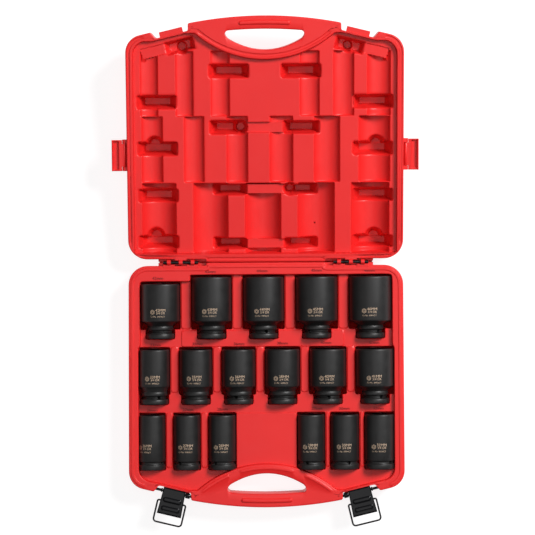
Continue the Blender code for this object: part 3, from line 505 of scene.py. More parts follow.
def rim_half(rear, sides, hand_step):
    """Matching outer and inner edge points of one side, from the rear middle to the front
    middle, with a share for the split between them. sides lists the inside's half width at
    increasing v; hand_step is an optional step in the rear strip."""
    side = HALF_WIDTH - REAR_TAPER
    corner = (side - REAR_CORNER, REAR_SET_BACK + REAR_CORNER)
    inside = sides[0][0]
    front_centre = (HALF_WIDTH - FRONT_CORNER, ROWS_END + 2.2)
    inner_side = sides[-1][0]
    inner_corner = FRONT_CORNER - (HALF_WIDTH - inner_side) / 2
    inner_centre = (inner_side - inner_corner, ROWS_END - 1.8)
    slant_end = math.pi / 2 - FRONT_SLANT
    inner_front = arc(inner_centre, inner_corner, 0, slant_end, 12)
    outer_front = arc(front_centre, FRONT_CORNER, 0, slant_end, 12)
    shoulder = latch_point(RECESS_HALF - 2.0, -RECESS_WALL)
    recess_in = latch_point(-RECESS_HALF, -RECESS_WALL)
    lip_in = latch_point(-RECESS_HALF - RECESS_FLARE, -RECESS_WALL)
    handle_x = latch_point(RECESS_HALF + RECESS_FLARE / 2, RECESS_DEPTH)[0]
    arch_x = np.linspace(101.0, HOLE_HALF, 12)
    edge_x = np.linspace(handle_x, HOLE_HALF, 12)
    rear_inner = [(HINGE_ZONE + 2, rear)]
    last = rear
    if hand_step:
        step_x, last = hand_step
        rear_inner += [(step_x, rear), (step_x, last)]
    rear_inner += [(inside - 30, last)]
    pairs = [
        ([(0, 0.3), (HINGE_ZONE, 0.3)], [(0, rear), (HINGE_ZONE, rear)], 50),
        ([(HINGE_ZONE, 0.3), (HINGE_ZONE, REAR_SET_BACK)],
         [(HINGE_ZONE, rear), (HINGE_ZONE + 2, rear)], 4),
        ([(HINGE_ZONE, REAR_SET_BACK), (corner[0], REAR_SET_BACK)], rear_inner, 60),
        (arc(corner, REAR_CORNER, -math.pi / 2, 0, 12),
         np.vstack(([(inside - 30, last)],
                    arc((inside - 3, last + 3), 3.0, -math.pi / 2, 0, 6),
                    [(inside, last + 26)])), 34),
        ([(side, corner[1]), (HALF_WIDTH, front_centre[1])],
         np.vstack(([(inside, last + 26)], sides, [inner_front[0]])), 180),
        (outer_front, inner_front, 26),
        ([outer_front[-1], latch_point(-RECESS_HALF - RECESS_FLARE, RECESS_DEPTH)],
         [inner_front[-1], lip_in], 14),
        ([latch_point(-RECESS_HALF - RECESS_FLARE, RECESS_DEPTH),
          latch_point(-RECESS_HALF, 0)], [lip_in, recess_in], 9),
        ([latch_point(-RECESS_HALF, 0), latch_point(RECESS_HALF, 0)],
         [recess_in, shoulder], 34),
        ([latch_point(RECESS_HALF, 0), (handle_x, handle_edge(handle_x))],
         [shoulder, (101.0, arch_edge(101.0))], 9),
        (np.column_stack((edge_x, handle_edge(edge_x))),
         np.column_stack((arch_x, arch_edge(arch_x))), 36),
    ]
    outer = np.vstack([spaced(pair[0], pair[2]) for pair in pairs])
    inner = np.vstack([spaced(pair[1], pair[2]) for pair in pairs])
    x = HOLE_HALF * np.sin(np.linspace(math.pi / 2, 0, 64))
    outer = np.vstack((outer, np.column_stack((x, handle_edge(x)))))
    inner = np.vstack((inner, np.column_stack((x, arch_edge(x)))))
    return outer, inner, len(x), 36


def soften(points, passes=3):
    """Rounded corners: repeated weighted means of each point and its two neighbours."""
    for _ in range(passes):
        points = (np.roll(points, 1, axis=0) + 2 * points + np.roll(points, -1, axis=0)) / 4
    return points


def normals(points, towards):
    """Unit normals of a closed path, on the side of the matching points."""
    along = np.roll(points, -1, axis=0) - np.roll(points, 1, axis=0)
    normal = np.column_stack((-along[:, 1], along[:, 0]))
    normal /= np.linalg.norm(normal, axis=1, keepdims=True)
    side = np.sign((normal * (towards - points)).sum(axis=1))
    side[side == 0] = 1
    return normal * side[:, None]


def rim_paths(rear, sides, left_step=None):
    """Closed outer, split (outer and inner) and inner paths round a case half."""
    outer, inner, hole_count, lead = rim_half(rear, sides, None)
    left_outer, left_inner, _, _ = rim_half(rear, sides, left_step)
    flip = np.array([-1.0, 1.0])
    outer = np.vstack((outer, (left_outer * flip)[-2:0:-1]))
    inner = np.vstack((inner, (left_inner * flip)[-2:0:-1]))
    count = len(outer)
    half = len(left_outer)
    hole = np.zeros(count, bool)
    hole[half - hole_count:half + hole_count - 1] = True
    width = np.linalg.norm(inner - outer, axis=1)
    share = np.minimum(8.6 / width, 0.62)
    first = half - hole_count
    corner_v = sum(hole_edges(HOLE_HALF)) / 2
    corner_share = (outer[first, 1] - corner_v) / (outer[first, 1] - inner[first, 1])
    ease = np.linspace(0, 1, lead + 1)
    span = slice(first - lead, first + 1)
    share[span] += (corner_share - share[span]) * ease
    mirror = count - np.arange(count)
    mirror[0] = 0
    share[half:] = share[mirror[half:]]
    outer, inner = soften(outer), soften(inner)
    split = outer + (inner - outer) * share[:, None]
    split_out, split_in = split.copy(), split.copy()
    x = inner[hole, 0]
    edge_out, edge_in = hole_edges(x)
    outer[hole, 0] = inner[hole, 0] = x
    split_out[hole] = np.column_stack((x, edge_out))
    split_in[hole] = np.column_stack((x, edge_in))
    return outer, split_out, split_in, inner, hole


def rim_solid(paths, ridge, bead_gaps, place, material, name):
    """Closed rim: the outer strip and the inner strip of each cross-section are loops of
    stations, offset from the outer edge, the hand hole and the inside edge. ridge is the
    height of the sealing tongue (positive) or groove (negative)."""
    outer, split_out, split_in, inner, hole = paths
    width = np.linalg.norm(inner - outer, axis=1)
    into = soften(normals(outer, inner), 14)
    into /= np.linalg.norm(into, axis=1, keepdims=True)
    back = normals(inner, outer)
    squeeze = soften(np.clip(width / 13.0, 0.12, 1.0)[:, None], 4)[:, 0]
    gap = np.linalg.norm(split_out - split_in, axis=1)
    lip = np.clip(gap / 4, 0, 1.6)
    away = np.where(hole, 1.0, 0.0)
    x = np.abs(inner[:, 0])
    front = inner[:, 1] > 288.0
    in_handle = front & (x < 106)
    at_side = np.clip((width - 9.0) / 1.0, 0, 1) * np.where(in_handle | (front & (x < 172)), 0, 1)
    on_arch = np.where(front, np.clip((99 - x) / 3, 0, 1), 0.0)
    for low, high in bead_gaps:
        on_arch *= np.clip(np.maximum(low - x, x - high) / 2, 0, 1)
    at_side, on_arch = soften(at_side[:, None], 4)[:, 0], soften(on_arch[:, None], 2)[:, 0]
    level = np.full(len(outer), RIM)
    low = np.full(len(outer), -HINGE_Z)

    def off(base, direction, amount):
        return base + direction * np.asarray(amount, float).reshape(-1, 1)

    def station(plan, height):
        return np.column_stack((plan, height))

    outer_wall = [(5.0, -45.0), (3.4, -44.6), (2.0, -43.7), (1.0, -42.2), (0.45, -39.5),
                  (0.3, -30.0), (0.12, -8.0), (0.05, -1.5), (0.2, -0.85), (0.55, -0.4),
                  (1.2, -0.2), (2.9, -0.2)]
    loop_a = [station(split_out, low)]
    loop_a += [station(off(outer, into, d * squeeze), np.full(len(outer), z))
               for d, z in outer_wall]
    for d, part in ((3.2, 0.35), (3.6, 0.9), (4.1, 1.0), (5.4, 1.0), (6.9, 1.0),
                    (7.4, 0.9), (7.8, 0.35), (8.1, 0.0)):
        loop_a.append(station(off(outer, into, d * squeeze), level + ridge * part * at_side))
    out_dir = (outer - inner) / width[:, None]
    for d, z in ((1.0, 0.0), (0.5, 0.22), (0.15, 0.55), (0.0, 1.0)):
        loop_a.append(station(off(split_out, out_dir, d * lip), level - z * lip * away))
    for d, z in ((0.0, 1.0), (1.0, 0.0)):
        loop_a.append(station(off(split_out, out_dir, d * lip), low + z * lip * away))
    wall_a = len(loop_a) - 3

    loop_b = [station(split_in, low)]
    for d, z in ((1.0, 0.0), (0.0, 1.0)):
        loop_b.append(station(off(split_in, out_dir, -d * lip), low + z * lip * away))
    wall_b = len(loop_b) - 1
    for d, z in ((0.0, 1.0), (0.15, 0.55), (0.5, 0.22), (1.0, 0.0)):
        loop_b.append(station(off(split_in, out_dir, -d * lip), level - z * lip * away))
    reach = np.minimum(1.0, np.linalg.norm(inner - split_in, axis=1) / 9.2)
    spread = soften(np.where(front, 1.0, 0.03)[:, None], 4)[:, 0]
    for d, part in ((8.2, 0.0), (7.8, 0.35), (7.3, 0.9), (6.8, 1.0), (4.6, 1.0), (4.1, 0.9),
                    (3.6, 0.35), (3.2, 0.0)):
        loop_b.append(station(off(inner, back, (1.35 + (d - 1.35) * spread) * reach),
                              level + ridge * part * on_arch))
    inner_wall = [(1.3, -0.2), (0.6, -0.4), (0.2, -0.85), (0.0, -1.5), (-1.1, -8.6),
                  (-1.4, -44.0), (-1.4, -45.0)]
    loop_b += [station(off(inner, back, d * (np.clip(reach, 0.2, 1) if d > 0 else 1.0)
                           * np.ones(len(outer))), np.full(len(outer), z))
               for d, z in inner_wall]

    points, faces, start = [], [], 0
    for loop, wall in ((loop_a, wall_a), (loop_b, wall_b)):
        block = np.stack(loop, axis=1)
        count, stations = block.shape[:2]
        quads = grid_faces(count, stations, True, True).reshape(count, stations, 4)
        keep = np.ones((count, stations), bool)
        keep[~(hole & np.roll(hole, -1)), wall] = False
        points.append(place(block))
        faces.append(quads[keep] + start)
        start += count * stations
    return build(name, np.vstack(points), np.vstack(faces), material, 42.0, weld=True)


# ---------------------------------------------------------------- fields inside a half
def lines(edges, low, high, widest):
    """Grid lines: the given ones and even fill, none closer than 0.34 mm."""
    steps = np.concatenate([np.asarray(edges, float).ravel(),
                            np.arange(low, high + widest, widest)])
    steps = np.sort(steps[(steps >= low) & (steps <= high)])
    kept = [steps[0]]
    for value in steps[1:]:
        if value - kept[-1] >= 0.34:
            kept.append(value)
    return np.array(kept)


def about(*edges):
    """Lines either side of a wall, close at the wall and wider away from it."""
    return [edge + step for edge in edges for step in (-2.2, -1.2, -0.6, -0.2, 0.2, 0.6, 1.2,
                                                       2.2)]


def box_gap(x, v, box, corner=1.5):
    """Signed distance to a rectangle (x0, x1, v0, v1) with round corners, + outside."""
    dx = np.maximum(box[0] - x, x - box[1]) + corner
    dv = np.maximum(box[2] - v, v - box[3]) + corner
    inside = np.minimum(np.maximum(dx, dv), 0)
    return inside + np.hypot(np.maximum(dx, 0), np.maximum(dv, 0)) - corner


def step(gap, height, outside=1.0, inside=1.0):
    """Height reached at a signed distance from a wall: two quarter rounds either side."""
    outside, inside = min(outside, height / 2), min(inside, height / 2)
    past = np.clip(gap, 0, outside)
    before = np.clip(-gap, 0, inside)
    low = outside - np.sqrt(outside ** 2 - (outside - past) ** 2)
    top = height - inside + np.sqrt(inside ** 2 - (inside - before) ** 2)
    return np.where(gap > 0, low, top)


def inside_path(x, v, path):
    """Whether points lie in a closed path, by counting edge crossings."""
    found = np.zeros(x.shape, bool)
    for (ax, av), (bx, bv) in zip(path, np.roll(path, -1, axis=0)):
        if av == bv:
            continue
        crosses = (av > v) != (bv > v)
        found ^= crosses & (x < (bx - ax) * (v - av) / (bv - av) + ax)
    return found


def field_solid(name, xs, vs, height, inner, place):
    """Closed slab: its top is height(x, v) on a grid, its plan is the inside edge taken
    0.9 mm into the rim, and its floor is flat."""
    x, v = np.meshgrid(xs, vs)
    z = height(x, v)
    centre = (x[:-1, :-1] + x[1:, 1:]) / 2, (v[:-1, :-1] + v[1:, 1:]) / 2
    kept = inside_path(*centre, inner)
    back = normals(inner, inner * 1.5 - inner.mean(axis=0) * 0.5)
    grown = inner + back * 0.9
    index = np.arange(x.size).reshape(x.shape)
    quads = np.stack((index[:-1, :-1], index[:-1, 1:], index[1:, 1:], index[1:, :-1]),
                     axis=-1)[kept]
    pairs = np.vstack([quads[:, [k, (k + 1) % 4]] for k in range(4)])
    key = np.sort(pairs, axis=1)
    _, first, counts = np.unique(key[:, 0] * x.size + key[:, 1], return_index=True,
                                 return_counts=True)
    border = pairs[first[counts == 1]]
    edge = np.unique(border)
    plan = np.column_stack((x.ravel(), v.ravel()))
    distance = np.linalg.norm(plan[edge, None] - grown[None], axis=2)
    plan[edge] = grown[distance.argmin(axis=1)]
    points = np.column_stack((plan, z.ravel()))
    used = np.zeros(x.size, int)
    used[np.unique(quads)] = 1
    order = np.cumsum(used) - 1
    top = points[used == 1]
    lower = np.column_stack((plan[edge], np.full(len(edge), SKIN_BOTTOM)))
    at = np.full(x.size, -1)
    at[edge] = np.arange(len(edge)) + len(top)
    middle = len(top) + len(edge)
    walls = np.column_stack((order[border[:, 1]], order[border[:, 0]], at[border[:, 0]],
                             at[border[:, 1]]))
    fan = np.column_stack((at[border[:, 1]], at[border[:, 0]], np.full(len(border), middle)))
    faces = order[quads].tolist() + walls.tolist() + fan.tolist()
    centre_point = [[0.0, 165.0, SKIN_BOTTOM]]
    return build(name, place(np.vstack((top, lower, centre_point))), faces, RED, 50.0, weld=True)


# ---------------------------------------------------------------- base
BASE_SIDES = [(184.3, 60.0), (184.3, 122.0), (186.9, 124.0), (186.9, 298.0)]
LID_SIDES = [(191.4, 60.0), (191.5, 298.0)]


def web_boxes():
    """Raised pads between neighbouring sockets, as (x0, x1, v0, v1)."""
    boxes = []
    for row, start, end in ((ROW_ONE, 18.0, 97.0), (ROW_TWO, 123.4, 189.5),
                            (ROW_THREE_LEFT, 219.4, 300.0), (ROW_THREE_RIGHT, 219.4, 300.0)):
        sizes = list(row)
        for one, two in zip(sizes, sizes[1:]):
            low = SOCKETS[one][0] + SOCKETS[one][3] + 2.4
            high = SOCKETS[two][0] - SOCKETS[two][3] - 2.4
            boxes.append((low, high, start, end))
    return boxes


def pocket_parts():
    """Round-floored pockets as (x, start, end, radius): a wide and a narrow part each."""
    parts = []
    for size, (x, open_end, length, radius) in SOCKETS.items():
        start, end = open_end - 3.2, open_end + length + 0.8
        if size > 32:
            parts += [(x, start, open_end + length - 13.5, radius + 0.8),
                      (x, open_end + length - 18.0, end, FLANGE + 0.45)]
        else:
            parts.append((x, start, end, radius + 0.8))
    return parts


def base_height(x, v):
    z = np.full(x.shape, DECK)
    for box in web_boxes():
        z = np.maximum(z, DECK + step(box_gap(x, v, box, 3.0), 1.0, 0.6, 0.6))
    z = np.maximum(z, DECK + step(box_gap(x, v, (-44.7, 44.4, 220.5, 310.0), 2.0), 1.0, 0.6,
                                  0.6))
    z = np.maximum(z, DECK + step(box_gap(x, v, (-123.6, 113.4, 99.5, 123.0), 3.0), 1.0, 0.6,
                                  0.6))
    for centre, start, end, radius in pocket_parts():
        box = (centre - radius, centre + radius, start, end)
        gap = box_gap(x, v, box, 2.6)
        across = np.clip(np.abs(x - centre), 0, radius)
        floor = SOCKET_AXIS - np.sqrt(radius ** 2 - across ** 2)
        edge = z - step(gap, 2.0, 1.0, 0.1)
        z = np.where(gap > 0, np.where(gap < 1.0, edge, z), np.minimum(z, floor))
    return z


def base_lines():
    xs, vs = [], []
    for centre, start, end, radius in pocket_parts():
        xs += about(centre - radius, centre + radius)
        xs += [centre + radius * math.sin(turn) for turn in np.linspace(-1.45, 1.45, 11)]
        vs += about(start, end)
    for x0, x1, v0, v1 in web_boxes() + [(-44.7, 44.4, 220.5, 310.0),
                                         (-123.6, 113.4, 99.5, 123.0)]:
        xs += [edge + part for edge in (x0, x1) for part in (-0.5, -0.15, 0.15, 0.5, 3.0)]
        vs += [edge + part for edge in (v0, v1) for part in (-0.5, -0.15, 0.15, 0.5, -3.0)]
    return lines(xs, -192.0, 192.0, 4.0), lines(vs, 14.0, 340.0, 4.0)


def make_base():
    paths = rim_paths(18.0, BASE_SIDES, (110.9, 27.6))
    rim = rim_solid(paths, 0.85, [(41.0, 57.0)], to_base, RED, "base rim")
    finish_piece(rim, "base", "red_plastic", "base_shell")
    xs, vs = base_lines()
    bed = field_solid("base bed with socket pockets", xs, vs, base_height, paths[3], to_base)
    finish_piece(bed, "base", "red_plastic", "base_shell")


# ---------------------------------------------------------------- lid
PITS = [(x, v, 28.8, half) for x, v, half in (
    (-157.0, 233.2, 9.6), (-156.4, 165.6, 9.7), (-156.0, 97.2, 9.4), (-155.8, 29.2, 9.2),
    (157.0, 233.2, 9.6), (156.2, 165.4, 9.6), (156.6, 97.2, 8.8), (156.3, 29.2, 8.6),
    (-52.4, 278.0, 9.8), (52.3, 278.0, 9.8))]
PITS += [(-58.5, 196.3, 22.0, 9.8), (52.9, 196.1, 26.5, 9.0), (-51.6, 105.5, 24.5, 7.9),
         (54.8, 105.6, 21.0, 7.4), (-51.8, 26.6, 24.5, 7.8), (51.4, 26.8, 24.2, 7.6)]
"""Kiss-off pits where the inner skin meets the outer one: x, v and half sizes."""
ROUND_PITS = [(-36.0, 196.3, 10.3), (35.6, 106.5, 9.4), (-120.4, 313.6, 10.3),
              (120.4, 314.2, 9.9)]
HUMPS = [(-161.0, 171.0, 12.3), (-160.3, 36.6, 12.3), (161.8, 171.2, 12.3),
         (158.6, 35.0, 12.3)]
CHANNELS = [(-40.0, 40.0, 188.9, 203.6, -12.0), (-40.0, 40.0, 99.8, 113.4, -12.5),
            (-40.0, 40.0, 20.0, 33.0, -12.5)]
"""Flat strips between two pits: x0, x1, v0, v1 and level."""
LID_PADS = [(-51.0, -32.4, 43.0, 89.2), (23.5, 42.8, 42.8, 89.0), (-51.5, -32.0, 12.7, 16.8),
            (28.0, 48.0, 12.7, 16.8)]
SLANTED = (122.6, 314.6, 20.3, 8.8)
VENT = (72.0, 55.0)


def trough_parts():
    """Round-roofed troughs as (x, start, end, radius)."""
    parts = []
    for size, (x, _, _, radius) in SOCKETS.items():
        row = row_of(size)
        clear = (1.7, 0.9, 2.6)[row] - 1.7 * (size in (35, 36, 38, 40))
        start = (13.4, 116.8, 213.0)[row]
        end = (115.0, 212.2, 306.5)[row]
        parts.append((x, start, end, radius + clear))
    return parts


def taper_pit(gap_x, gap_v, taper_x, taper_v):
    """Share of a pit's depth, where its walls lean in by taper over the whole depth."""
    return np.clip(-np.maximum(gap_x / taper_x, gap_v / taper_v), 0, 1)


def slanted(x, v, hand, centre):
    """Coordinates along and across the slanted front, from a centre."""
    dx, dv = hand * x - centre[0], v - centre[1]
    return (-dx * math.cos(FRONT_SLANT) + dv * math.sin(FRONT_SLANT),
            dx * math.sin(FRONT_SLANT) + dv * math.cos(FRONT_SLANT))


def lid_height(x, v):
    z = np.full(x.shape, DECK)
    for box in LID_PADS:
        z = np.maximum(z, DECK + step(box_gap(x, v, box, 1.5), 1.6, 0.8, 0.8))
    for centre, start, end, radius in trough_parts():
        half = math.sqrt(radius ** 2 - (DECK + SOCKET_AXIS) ** 2)
        gap = box_gap(x, v, (centre - half, centre + half, start, end), 1.2)
        across = np.clip(np.abs(x - centre), 0, half)
        roof = -SOCKET_AXIS - np.sqrt(radius ** 2 - across ** 2)
        wall = np.where(gap > 0, DECK, roof) - step(gap, 3.2, 1.5, 1.2)
        z = np.where(gap < 1.5, np.minimum(z, wall), z)
    for x0, x1, v0, v1, level in CHANNELS:
        gap = box_gap(x, v, (x0, x1, v0, v1), 1.2)
        cut = np.minimum(z, DECK - step(gap, DECK - level, 1.2, 1.2))
        z = np.where(gap < 0, level, cut)
    for hand in (-1, 1):
        along, across = slanted(x, v, hand, (160.5, 306.5))
        gap = box_gap(along, across, (-18.5, 19.0, -7.6, 7.6), 1.0)
        z = np.where(gap < 0, DECK - 1.6, np.where(gap < 0.8, np.minimum(z, DECK), z))

    rim_gap = np.full(x.shape, 99.0)
    sunk = z.copy()

    def sink(gap, share, bottom):
        """Lower the skin towards bottom by a share of the way."""
        nonlocal rim_gap, sunk
        rim_gap = np.minimum(rim_gap, gap)
        sunk = np.minimum(sunk, z - np.maximum(z - bottom, 0) * share)

    full = DECK - FLOOR
    for px, pv, half_x, half_v in PITS:
        gx, gv = np.abs(x - px) - half_x, np.abs(v - pv) - half_v
        gap = box_gap(x, v, (px - half_x, px + half_x, pv - half_v, pv + half_v), 3.0)
        sink(gap, taper_pit(gx, gv, 10.2, half_v * 0.5) * (gap < 0), FLOOR)
    for px, pv, radius in HUMPS:
        gap = np.hypot(x - px, v - pv) - radius
        sink(gap, taper_pit(gap, gap, 5.2, 5.2), DECK - full * 0.95)
    for px, pv, radius in ROUND_PITS:
        gap = np.hypot(x - px, v - pv) - radius
        sink(gap, taper_pit(gap, gap, 4.6, 4.6), DECK - full * 0.85)
    for hand in (-1, 1):
        along, across = slanted(x, v, hand, SLANTED[:2])
        ga, gc = np.abs(along) - SLANTED[2], np.abs(across) - SLANTED[3]
        sink(np.maximum(ga, gc), taper_pit(ga, gc, 5.0, 3.0), DECK - full * 0.5)
    edge = np.clip(rim_gap, 0, 2.4)
    rounding = 2.4 - np.sqrt(2.4 ** 2 - (2.4 - edge) ** 2)
    z = np.where(rim_gap > 0, z - rounding, np.minimum(sunk - 0.9, z - 2.4))
    vent = np.hypot(x - VENT[0], v - VENT[1])
    return np.where(vent < 1.2, z - 6.0, z)


def lid_lines():
    xs, vs = [], []
    for centre, start, end, radius in trough_parts():
        half = math.sqrt(radius ** 2 - (DECK + SOCKET_AXIS) ** 2)
        xs += [centre + side * (half + part) for side in (-1, 1)
               for part in (-0.9, -0.25, 0.25, 0.7, 1.4)]
        xs += [centre + half * part for part in np.linspace(-0.85, 0.85, 9)]
        vs += about(start, end)
    for px, pv, half_x, half_v in PITS:
        xs += [px + side * (half_x + part) for side in (-1, 1)
               for part in (2.4, 1.3, 0.6, 0.2, -0.15, -1.2, -2.4, -9.9, -10.5)]
        vs += [pv + side * (half_v + part) for side in (-1, 1)
               for part in (2.4, 1.3, 0.6, 0.2, -0.15, -1.2, -half_v * 0.47, -half_v * 0.53)]
    for x0, x1, v0, v1 in LID_PADS + [strip[:4] for strip in CHANNELS]:
        xs += [edge + part for edge in (x0, x1) for part in (-0.7, -0.2, 0.2, 0.7)]
        vs += [edge + part for edge in (v0, v1) for part in (-0.7, -0.2, 0.2, 0.7)]
    for px, pv, radius in HUMPS + ROUND_PITS:
        xs += list(px + np.arange(-radius - 1.5, radius + 1.6, 1.1))
        vs += list(pv + np.arange(-radius - 1.5, radius + 1.6, 1.1))
    vs += list(np.arange(296.0, 338.0, 1.0))
    for found, middle in ((xs, VENT[0]), (vs, VENT[1])):
        found += [middle + part for part in (-1.3, -0.7, 0.0, 0.7, 1.3)]
    return lines(xs, -196.0, 196.0, 3.0), lines(vs, 8.0, 342.0, 4.0)


def make_lid():
    paths = rim_paths(12.3, LID_SIDES)
    rim = rim_solid(paths, -1.1, [], to_lid, RED, "lid rim")
    finish_piece(rim, "lid", "red_plastic", "lid_shell")
    xs, vs = lid_lines()
    web = field_solid("lid inner skin with troughs and pits", xs, vs, lid_height, paths[3],
                      to_lid)
    finish_piece(web, "lid", "red_plastic", "lid_shell")


# ---------------------------------------------------------------- sockets
PIN_HOLES = {42: 2.4, 43: -2.2, 44: 0.22, 45: -0.65, 46: 0.72, 33: 0.46, 35: 2.6, 36: -0.22,
             38: 3.0, 40: 0.07, 41: 0.52, 26: 1.05, 27: -0.62, 28: -0.62, 29: -0.33,
             30: 0.3, 32: 0.85}
"""Turn of each socket's pin hole about its axis, from straight up, in radians."""


def socket_profile(size, length, radius):
    """Outer half section, from the open end to the drive end, as (along, radius)."""
    section = [(0.0, radius - 1.5), (0.25, radius - 0.9), (0.8, radius - 0.35),
               (1.8, radius - 0.05), (3.0, radius)]
    if size > 32:
        body = length - 25.0
        cone = radius - 1.4 - 18.4
        section += [(body * 0.5, radius), (body - 2.2, radius), (body - 1.2, radius - 0.15),
                    (body - 0.4, radius - 0.6), (body, radius - 1.4)]
        section += [(body + past, r) for past, r in (
            (2.2, 18.4 + cone * 0.55), (4.6, 18.4 + cone * 0.20), (6.4, 18.3), (7.2, 18.75),
            (8.6, 19.1), (10.8, 19.1), (12.0, 18.8), (12.7, 18.0), (13.1, 16.9), (13.7, 16.5),
            (14.2, 16.8), (14.8, 17.2), (15.4, 16.8), (16.0, 16.4), (16.8, 16.5),
            (17.1, 17.6), (17.4, 19.4), (18.1, 20.35), (19.2, FLANGE), (23.4, FLANGE),
            (24.4, 20.4), (25.0, 19.5))]
    else:
        section.append((length * 0.5, radius))
        section += [(length - back, radius - cut) for back, cut in (
            (13.6, 0.0), (12.8, 0.3), (12.2, 1.2), (11.6, 2.0), (10.8, 2.2), (9.4, 2.2),
            (8.6, 1.8), (8.1, 0.7), (7.4, 0.15), (6.6, 0.0), (1.8, 0.0), (0.6, 0.4),
            (0.0, 1.3))]
    return section


def polygon_radius(angles, flat, sides):
    """Radius of a regular polygon of half width flat: flat / cos of the turn from the
    nearest flat's middle. A corner lies at angle 0 for six sides and at 45 deg for four."""
    turn = math.tau / sides
    shift = turn / 2 if sides == 6 else 0.0
    off = (angles + shift + turn / 2) % turn - turn / 2
    return flat / np.cos(off)


def make_socket(size):
    """Closed torus of stations x angles: outside, open end, hexagon, drive square. A point
    at angle a lies at (x + r sin a, v, axis + r cos a); near the pin hole r drops by 5."""
    x, open_end, length, radius = SOCKETS[size]
    hole = PIN_HOLES[size]
    hole_at = length - PIN_HOLE_BACK
    angles = np.radians(np.arange(0, 360, 5.0))
    near = hole + np.radians((-10.5, -9.0, -8.0, -4.5, 0.0, 4.5, 8.0, 9.0, 10.5))
    angles = np.sort(np.concatenate((angles, near % math.tau)))
    angles = angles[np.append(True, np.diff(angles) > 0.006)]
    section = socket_profile(size, length, radius)
    extra = [hole_at + part for part in (-2.6, -2.3, -1.2, 0.0, 1.2, 2.3, 2.6)]
    along, round_off = np.array(section).T
    stations = np.unique(np.concatenate((along, extra)))
    outside = np.interp(stations, along, round_off)
    rings = [(a, np.full(len(angles), r)) for a, r in zip(stations, outside)]
    flat = size / 2 + HEX_PLAY
    hexagon = polygon_radius(angles, flat, 6)
    square = polygon_radius(angles, SQUARE_HALF, 4)
    bore = length - DRIVE_DEPTH
    mouth = flat / math.cos(math.pi / 6) + 0.5
    rings += [(length, square + 1.2), (length - 0.9, square), (bore + 0.2, square),
              (bore, square + 0.2), (bore, hexagon - 0.4), (bore - 0.5, hexagon),
              (length * 0.4, hexagon), (1.8, hexagon), (0.6, np.full(len(angles), mouth)),
              (0.0, np.full(len(angles), mouth + 0.5))]
    a = np.array([ring[0] for ring in rings])[:, None]
    r = np.array([ring[1] for ring in rings])
    turn = (angles[None] - hole + math.pi) % math.tau - math.pi
    away = np.hypot(a - hole_at, turn * r)
    outer = np.arange(len(rings))[:, None] < len(stations)
    r = np.where(outer & (away < 2.45) & (np.abs(turn) < 0.5), r - 5.0, r)
    points = np.stack((x + r * np.sin(angles), np.broadcast_to(open_end + a, r.shape),
                       SOCKET_AXIS + r * np.cos(angles)), axis=-1)
    faces = grid_faces(*r.shape, wrap_rows=True, wrap_columns=True)
    item = build(f"socket {size} mm", to_base(points), faces, PHOSPHATE, 32.0)
    finish_piece(item, f"socket_{size}mm", "black_phosphate", f"socket_{size}mm")


def text_mesh(body, size, spread_x=1.0, thick=0.0):
    """Points (mm, centred) and faces of a word, cut to triangles."""
    curve = bpy.data.curves.new("word", "FONT")
    curve.body, curve.size, curve.extrude = body, size, thick
    curve.align_x, curve.align_y = "CENTER", "CENTER"
    curve.resolution_u = 3
    item = bpy.data.objects.new("word", curve)
    bpy.context.scene.collection.objects.link(item)
    bpy.context.view_layer.update()
    mesh = bpy.data.meshes.new_from_object(item.evaluated_get(
        bpy.context.evaluated_depsgraph_get()))
    points = np.zeros(len(mesh.vertices) * 3)
    mesh.vertices.foreach_get("co", points)
    faces = [list(face.vertices) for face in mesh.polygons]
    bpy.data.objects.remove(item)
    bpy.data.meshes.remove(mesh)
    return points.reshape(-1, 3) * (spread_x, 1, 1), faces


def ring_mesh(outer, inner, sides, turn=0.0):
    """Flat ring between two regular outlines."""
    angles = np.arange(sides) * math.tau / sides + turn
    points = np.vstack([np.column_stack((r * np.cos(angles), r * np.sin(angles),
                                         np.zeros(sides))) for r in (outer, inner)])
    here = np.arange(sides)
    after = np.roll(here, -1)
    return points, np.column_stack((here, after, after + sides, here + sides)).tolist()


def merged(parts):
    """Several (points, face lists) as one."""
    points, faces, start = [], [], 0
    for block, quads in parts:
        points.append(block)
        faces += [[corner + start for corner in face] for face in quads]
        start += len(block)
    return np.vstack(points), faces


def make_mark(size):
    """Generic laser mark: a hexagon sign and lines of text, laid on the cylinder as
    (x + r sin(u / r), v, axis + r cos(u / r))."""
    x, open_end, _, radius = SOCKETS[size]
    parts = [(ring_mesh(3.6, 2.9, 6, math.pi / 6), -8.3, 1.8),
             (ring_mesh(1.9, 1.3, 20), -8.3, 1.8),
             (text_mesh(f"{size}MM", 5.6, 1.05), 3.7, 4.3),
             (text_mesh("3/4 DR", 4.6, 1.0), 3.7, 0.1),
             (text_mesh("Cr-Mo  IMPACT", 3.1, 1.0), -0.6, -5.0)]
    points, faces = merged([(block[:, :2] + (shift_u, shift_w), quads)
                            for (block, quads), shift_u, shift_w in parts])
    u, w = points.T
    middle = 42.5 if size == 42 else (52.0, 44.0, 48.5)[row_of(size)]
    turn = {26: -0.55, 27: -0.08}.get(size, -0.07)
    skin = radius + 0.04
    angle = u / skin + turn
    placed = np.column_stack((x + skin * np.sin(angle), open_end + middle - w,
                              SOCKET_AXIS + skin * np.cos(angle)))
    item = build(f"laser mark {size} mm", to_base(placed), faces, MARK)
    finish_piece(item, f"socket_{size}mm", "black_phosphate")


